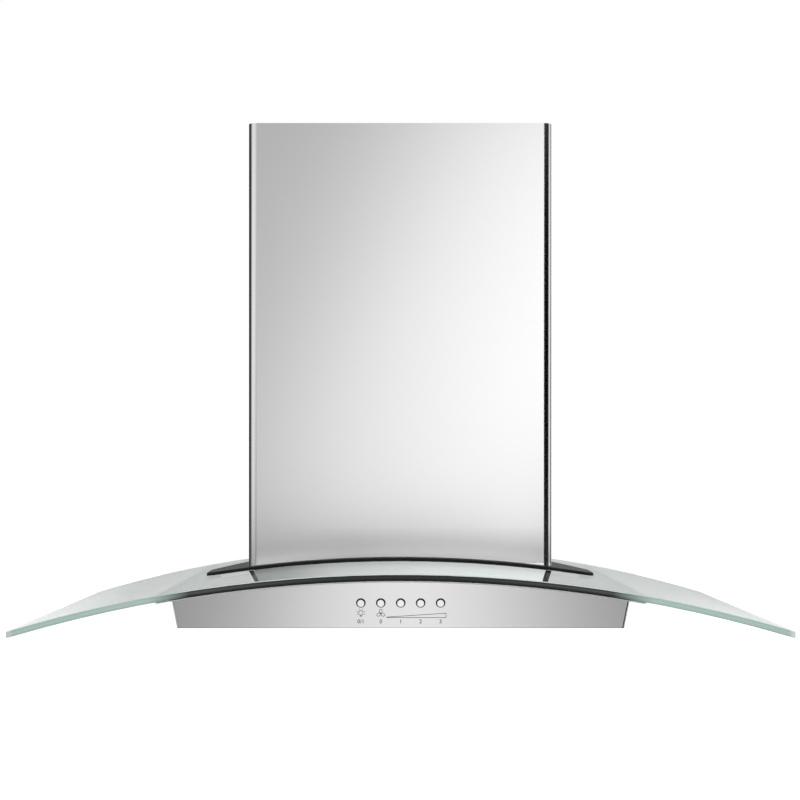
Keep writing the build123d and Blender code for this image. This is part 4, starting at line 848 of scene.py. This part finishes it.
class Print:
    """Flat shapes in millimetres on the panel: x along it, h up from its bottom edge."""

    def __init__(self):
        self.shape = bmesh.new()

    def quad(self, corners):
        lower = [self.shape.verts.new((x, h, 0)) for x, h in corners]
        upper = [self.shape.verts.new((x, h, INK_THICKNESS)) for x, h in corners]
        count = len(corners)
        self.shape.faces.new(upper)
        self.shape.faces.new(lower[::-1])
        for i in range(count):
            j = (i + 1) % count
            self.shape.faces.new((lower[i], lower[j], upper[j], upper[i]))

    def stroke(self, points, width, closed=False):
        """A line of even width, mitred at its corners."""
        count = len(points)
        sides = []
        for i, point in enumerate(points):
            before = points[i - 1] if i or closed else None
            after = points[(i + 1) % count] if i < count - 1 or closed else None
            steps = [(before, point), (point, after)]
            runs = [(Vector(b) - Vector(a)).normalized() for a, b in steps if a and b]
            along = sum(runs, Vector((0, 0))).normalized()
            across = Vector((-along.y, along.x))
            first_across = Vector((-runs[0].y, runs[0].x))
            reach = width / 2 / max(SHARPEST_MITRE, across.dot(first_across))
            sides.append((Vector(point) + across * reach, Vector(point) - across * reach))
        for i in range(count if closed else count - 1):
            (a, b), (c, d) = sides[i], sides[(i + 1) % count]
            self.quad([a, b, d, c])

    def ring(self, x, h, radius, width, start=0.0, end=360.0, steps=36):
        turns = [math.radians(start + (end - start) * i / steps) for i in range(steps + 1)]
        points = round_spots(x, h, radius, turns)
        closed = end - start == 360.0
        self.stroke(points[:-1] if closed else points, width, closed)

    def dot(self, x, h, radius, steps=24):
        self.quad(round_spots(x, h, radius, [2 * math.pi * i / steps for i in range(steps)]))


# %% Lay the print on the panel
def on_panel(x, h, out):
    """From panel millimetres to a point of the hood, in metres."""
    foot_y, foot_z = PANEL_FOOT
    y = foot_y - h * math.tan(LEAN) - out * math.cos(LEAN)
    return Vector((x, y, foot_z + h - out * math.sin(LEAN))) * MM


def lay(mesh_shape, name):
    for vert in mesh_shape.verts:
        vert.co = on_panel(*vert.co)
    bmesh.ops.recalc_face_normals(mesh_shape, faces=mesh_shape.faces)
    mesh = bpy.data.meshes.new(name)
    mesh_shape.to_mesh(mesh)
    mesh_shape.free()
    mesh.materials.append(print_ink)
    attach(place(name, mesh), "root")
    print(name, "has", len(mesh.polygons), "faces")


# %% The lamp mark
MARK_HEIGHT = 14.3
LINE = 0.5
BUTTON_PITCH = 19.0
lamp_x, off_x, low_x, medium_x, high_x = (BUTTON_PITCH * (i - 2) for i in range(5))
BULB, BULB_HEIGHT, NECK_ANGLE = 2.15, MARK_HEIGHT + 0.5, 55
CAP_LINES = (1.35, 2.05, 2.75)
RAY_ANGLES, RAY_ENDS = range(-20, 201, 44), (3.0, 4.4)

lamp_mark = Print()
lamp_mark.ring(lamp_x, BULB_HEIGHT, BULB, LINE, -NECK_ANGLE, 180 + NECK_ANGLE)
neck = BULB * math.cos(math.radians(NECK_ANGLE))
for drop in CAP_LINES:
    line_h = MARK_HEIGHT - drop
    lamp_mark.stroke([(lamp_x - neck, line_h), (lamp_x + neck, line_h)], LINE * 0.9)
for angle in RAY_ANGLES:
    turn = math.radians(angle)
    ray = [round_spots(lamp_x, BULB_HEIGHT, end, [turn])[0] for end in RAY_ENDS]
    lamp_mark.stroke(ray, LINE * 0.85)
lay(lamp_mark.shape, "lamp_mark")

# %% The fan mark
LOBES, LOBE_MIDDLE, LOBE_SWELL = 3, 2.75, 1.45
HUB = 0.95
OUTLINE_STEPS = 90


def lobed_spot(t):
    """A point of the fan's outline, which swells once for each lobe."""
    reach = LOBE_MIDDLE + LOBE_SWELL * math.cos(LOBES * t)
    return round_spots(off_x, MARK_HEIGHT, reach, [t + math.pi / 2])[0]


fan_mark = Print()
outline = [lobed_spot(2 * math.pi * i / OUTLINE_STEPS) for i in range(OUTLINE_STEPS)]
fan_mark.stroke(outline, LINE, closed=True)
fan_mark.dot(off_x, MARK_HEIGHT, HUB)
lay(fan_mark.shape, "fan_mark")

# %% The speed wedge
WEDGE = [(-13.4, 10.45), (43.2, 10.3), (43.2, 14.5), (-13.4, 10.85)]
wedge_mark = Print()
wedge_mark.stroke(WEDGE, LINE, closed=True)
lay(wedge_mark.shape, "speed_wedge_mark")

# %% Numerals
NUMERAL_HEIGHT = 4.8
NUMERAL_SIZE = 5.4
NUMERAL_WEIGHT = 0.05
NUMERALS = [
    ("lamp", "0/1", lamp_x), ("off", "0", off_x), ("low", "1", low_x), ("medium", "2", medium_x),
    ("high", "3", high_x),
]
for name, text, x in NUMERALS:
    words = bpy.data.curves.new(name, "FONT")
    words.body = text
    words.size = NUMERAL_SIZE
    words.align_x = "CENTER"
    words.extrude = INK_THICKNESS / 2
    words.offset = NUMERAL_WEIGHT
    holder = place(name, words)
    letters = bmesh.new()
    letters.from_mesh(plain_mesh(holder))
    bpy.data.objects.remove(holder)
    for vert in letters.verts:
        vert.co = (vert.co.x + x, vert.co.y + NUMERAL_HEIGHT, vert.co.z + INK_THICKNESS / 2)
    lay(letters, "numeral_" + name)

# %% [markdown]
# ## The studio: floor and background
# The photograph's background is pure white. Flooding the hood with light until the wall burns out
# would burn the steel too, so the white is only in what the camera, the metal and the glass see.
# The floor far below takes the hood's shadow, and lets a camera underneath look through it.

# %% White background
def seen_rays(board, in_mirrors=1.0):
    """1 for a ray from the camera or the glass, 0 for one that only brings light."""
    path = board.add("ShaderNodeLightPath", out="Is Camera Ray")
    return path.at_least(path.out("Is Glossy Ray") * in_mirrors).at_least(path.out("Is Transmission Ray"))


world = bpy.data.worlds.new("white_studio")
bpy.context.scene.world = world
world.use_nodes = True
sky = Board(world.node_tree)
AMBIENT = 0.55
strength = seen_rays(sky) * (1.0 - AMBIENT) + AMBIENT
light = sky.add("ShaderNodeBackground", None, {"Color": (1.0, 1.0, 1.0, 1.0), "Strength": strength})
sky.add("ShaderNodeOutputWorld", None, {"Surface": light})
print("world: white where it is seen,", AMBIENT, "where it only lights")

# %% Sheets that are seen from one side
def glow(board, colour):
    return board.add("ShaderNodeEmission", None, {"Color": colour, "Strength": 1.0})


def from_front(board, shader):
    """A finish that is clear from behind."""
    behind = board.add("ShaderNodeNewGeometry", out="Backfacing")
    clear = board.add("ShaderNodeBsdfTransparent")
    return board.show(board.add("ShaderNodeMixShader", None, {0: behind, 1: shader, 2: clear}))


def sheet(name, spots, faces, finish):
    """A bare mesh with one finish, placed in the scene."""
    mesh = bpy.data.meshes.new(name)
    mesh.from_pydata(spots, [], faces)
    mesh.materials.append(finish)
    return place(name, mesh)


def level_sheet(name, low, high, z, finish):
    """A rectangle that faces up, between two corners."""
    corners = [(low[0], low[1], z), (high[0], low[1], z), (high[0], high[1], z), (low[0], high[1], z)]
    return sheet(name, corners, [(0, 1, 2, 3)], finish)


# %% Pale floor
FLOOR_Z = -0.80
FLOOR_HALF = 9.0
FLOOR_LIFT = 0.72
MIRRORED = 0.2


def floor_finish():
    make = Finish("pale_floor")
    specks = make.noise(40.0, detail=2.0)
    matt = make.add("ShaderNodeBsdfDiffuse", None, {"Color": make.grey_between(specks, 0.82, 0.86)})
    lift = glow(make, seen_rays(make, MIRRORED) * FLOOR_LIFT)
    return from_front(make, make.add("ShaderNodeAddShader", None, {0: matt, 1: lift}))


level_sheet("floor", (-FLOOR_HALF,) * 2, (FLOOR_HALF,) * 2, FLOOR_Z, floor_finish())
print("floor", -FLOOR_Z, "m below the hanging holes")

# %% [markdown]
# ## The lamps
# Two large soft lamps light everything evenly. Polished metal needs more, because it has no colour
# of its own and shows the room. A photographer lights steel by choosing what it mirrors.

# %% Soft lamps
def soft_lamp(name, spot, aim, size, brightness):
    data = bpy.data.lights.new(name, "AREA")
    data.shape = "RECTANGLE"
    data.size, data.size_y = size
    data.energy = brightness * math.pi * size[0] * size[1]
    lamp = place(name, data)
    lamp.location = spot
    lamp.rotation_euler = (Vector(aim) - Vector(spot)).to_track_quat("-Z", "Y").to_euler()
    lamp.visible_glossy = False
    lamp.visible_camera = False
    lamp.visible_transmission = False
    print(name, "at", spot)


HOOD = (0.0, -0.25, -0.1)
soft_lamp("overhead_lamp", (0.3, -0.7, 2.4), HOOD, size=(2.6, 2.6), brightness=1.1)
soft_lamp("front_lamp", (0.8, -3.2, 0.9), HOOD, size=(2.2, 1.8), brightness=0.9)

# %% [markdown]
# ## What the mirrors see
# Round the hood stands a tent of bright panels and black flags, which only reflections see. Its
# greys go round it in degrees, from the wall over the left side to the front, and over the right
# side back to the wall. They lean a little, are darker near the floor, and go over to an even grey
# high up. A level panel before the hood does the same for the body's front, which leans and so
# looks at the floor.

# %% Pieces for mirrors alone
def mirrors_only(piece):
    """Leaves a piece to reflections: it neither shows, nor lights, nor shades."""
    piece.visible_camera = False
    piece.visible_diffuse = False
    piece.visible_transmission = False
    piece.visible_shadow = False
    piece.visible_volume_scatter = False
    print(piece.name, "for mirrors, with", len(piece.data.polygons), "faces")


def greys(board, along, stops, low, high, tint=(1.0, 1.0, 1.0)):
    """The grey for each place from low to high; along goes from 0 to 1 over the same run."""
    colours = []
    for spot, grey in stops:
        colours.append(((spot - low) / (high - low), tuple(grey * part for part in tint)))
    return board.add("ShaderNodeValToRGB", {"stops": colours}, {"Fac": along})


# %% A tent of panels and flags round the hood
TENT_RADIUS, TENT_SIDES = 6.0, 96
TENT_FOOT, TENT_TOP = FLOOR_Z + 0.01, 4.0
TENT_LEAN = math.radians(4.13)
TENT = [
    (-180, 0.60), (-167.5, 0.58), (-166, 0.60), (-164, 0.76), (-161, 0.95), (-156, 1.0), (-152, 0.0),
    (-104, 0.0), (-92, 0.20), (-80, 0.55), (-66, 1.25), (-30, 1.15), (-18, 0.86),
    (-14, 0.66), (-9.4, 0.74), (-7.2, 0.88), (-5.1, 1.08), (-2.9, 1.32), (-0.7, 1.47), (3.6, 1.70),
    (9.5, 1.90), (11.2, 0.0), (72, 0.0), (78, 1.1), (112, 1.1), (118, 0.08), (150, 0.08),
    (154, 1.0), (164, 0.92), (168, 0.62),
]
HIGH_PART, HIGH_GREY = (1.5, 2.4), (0.55, 0.55, 0.55)
WALL_TINT = (0.965, 1.0, 0.99, 1.0)
# The share of the brightness at the foot, and two rises above it, a steep one and a slow one.
FOOT_SHARE = 0.30
LOW_RISE, LOW_SHARE = (-0.46, -0.34), 0.62
SLOW_RISE, SLOW_SHARE = (-0.36, 0.5), 0.08
# To the right of the middle the rises start lower.
RIGHT_PART, RIGHT_LIFT = (0.30, 0.65), 0.12


def tent_face():
    make = Finish("tent_face")
    round_turn = make.x.math("ARCTAN2", 0.0 - make.y)
    leaning = round_turn - make.z * TENT_LEAN
    panels = greys(make, (leaning + math.pi) / (2 * math.pi), TENT, -180, 180)
    lofty = make.blend(make.z.ramp(*HIGH_PART), panels, HIGH_GREY)
    behind = make.y > 0.0
    height = make.z + make.x.ramp(*RIGHT_PART) * RIGHT_LIFT + behind
    low_part = height.ramp(*LOW_RISE) * LOW_SHARE + height.ramp(*SLOW_RISE) * SLOW_SHARE + FOOT_SHARE
    dimmed = make.blend(low_part, (0.0, 0.0, 0.0), lofty)
    return make.show(glow(make, make.times(dimmed, WALL_TINT, behind)))


def tent_spot(i, z):
    turn = 2 * math.pi * i / TENT_SIDES
    return (TENT_RADIUS * math.sin(turn), -TENT_RADIUS * math.cos(turn), z)


tent_spots = [tent_spot(i, z) for z in (TENT_FOOT, TENT_TOP) for i in range(TENT_SIDES)]
tent_faces = []
for i in range(TENT_SIDES):
    following = (i + 1) % TENT_SIDES
    tent_faces.append((i, TENT_SIDES + i, TENT_SIDES + following, following))
mirrors_only(sheet("light_tent", tent_spots, tent_faces, tent_face()))

# %% A low panel for the leaning front
LOW_HALF, LOW_FRONT, LOW_BACK = 2.5, -3.6, -0.9
LOW_PANEL = [
    (-2.5, 0.50), (-0.45, 0.44), (-0.38, 0.50), (-0.26, 0.70), (-0.16, 1.02), (-0.06, 1.24), (0.04, 1.31),
    (0.10, 1.23), (0.20, 0.99), (0.30, 0.74), (0.38, 0.58), (0.50, 0.50), (0.60, 0.03), (2.5, 0.03),
]


def low_panel_face():
    make = Finish("low_panel_face")
    along = make.x.ramp(-LOW_HALF, LOW_HALF)
    return make.show(glow(make, greys(make, along, LOW_PANEL, -LOW_HALF, LOW_HALF)))


low_panel = level_sheet(
    "low_panel", (-LOW_HALF, LOW_FRONT), (LOW_HALF, LOW_BACK), FLOOR_Z + 0.02, low_panel_face()
)
mirrors_only(low_panel)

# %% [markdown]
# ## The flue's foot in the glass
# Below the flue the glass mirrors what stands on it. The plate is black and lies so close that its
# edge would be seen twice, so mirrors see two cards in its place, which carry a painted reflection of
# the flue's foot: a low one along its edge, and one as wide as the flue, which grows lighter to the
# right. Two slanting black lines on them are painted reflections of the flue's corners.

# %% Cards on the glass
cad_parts["clamp_plate"].visible_glossy = False
PLATE_FRONT = -290 * MM
CARD_STEPS, CARD_CLEAR = 48, 0.2 * MM
EDGE_HALF, EDGE_HEIGHT = 192 * MM, 3.4 * MM
FOOT_HALF, FOOT_HEIGHT = 162 * MM, 16 * MM
FOOT_TINT, PAINTED_CORNER_REFLECTION = (0.94, 0.99, 0.98), (0.02, 0.02, 0.02)
# Dark at the left end, soon lighter, then slowly paler to the right.
FOOT_CARD = [(-162 * MM, 0.30), (-120 * MM, 0.40), (-70 * MM, 0.65), (30 * MM, 0.85), (162 * MM, 0.95)]
# Where each black line starts and ends at the card's foot, and how far it leans per metre of height.
LEFT_CORNER, LEFT_SLANT = (-162 * MM, -157.4 * MM), 0.3
RIGHT_CORNER, RIGHT_SLANT = (155.8 * MM, 162 * MM), 0.09
# The grey part is a tenth darker at its foot and brighter at its top.
RISE, RISE_SHARE, RISE_START = (0.0, 15 * MM), 0.28, 0.1


def card_face():
    make = Finish("foot_card_face")
    height = arch_radius(make) - ARCH_TOP
    from_left = make.x - height * LEFT_SLANT
    from_right = make.x + height * RIGHT_SLANT
    between = (from_left > -FOOT_HALF) * (from_right < FOOT_HALF)
    along = make.x.ramp(-FOOT_HALF, FOOT_HALF)
    # The card's grey is a painted reflection of the flue's steel, and its black lines of the flue's
    # corners.
    steel = greys(make, along, FOOT_CARD, -FOOT_HALF, FOOT_HALF, FOOT_TINT)
    left = (from_left > LEFT_CORNER[0]) * (from_left < LEFT_CORNER[1])
    right = (from_right > RIGHT_CORNER[0]) * (from_right < RIGHT_CORNER[1])
    face = make.blend(left + right, make.blend(between, PAINTED_PALE_REFLECTION, steel), PAINTED_CORNER_REFLECTION)
    rising = between * (height.ramp(*RISE) * RISE_SHARE - RISE_START) + 1.0
    return from_front(make, glow(make, make.times(face, rising)))


def arched_card(name, y, half, height, finish):
    """A card that stands on the arched glass and looks forward."""
    spots = []
    for i in range(CARD_STEPS + 1):
        x = half * (2 * i / CARD_STEPS - 1)
        foot = ARCH_AXIS_Z + math.sqrt(ARCH_TOP ** 2 - x ** 2) + CARD_CLEAR
        spots += [(x, y, foot), (x, y, foot + height)]
    faces = [(2 * i, 2 * i + 2, 2 * i + 3, 2 * i + 1) for i in range(CARD_STEPS)]
    mirrors_only(sheet(name, spots, faces, finish))


foot_face = card_face()
arched_card("plate_edge_card", PLATE_FRONT - 0.3 * MM, EDGE_HALF, EDGE_HEIGHT, foot_face)
arched_card("flue_foot_card", PLATE_FRONT - 0.6 * MM, FOOT_HALF, FOOT_HEIGHT, foot_face)

# %% [markdown]
# ## The last look
# Standard colours keep a grey as it is written.

# %% Finish
bpy.context.scene.view_settings.view_transform = "Standard"
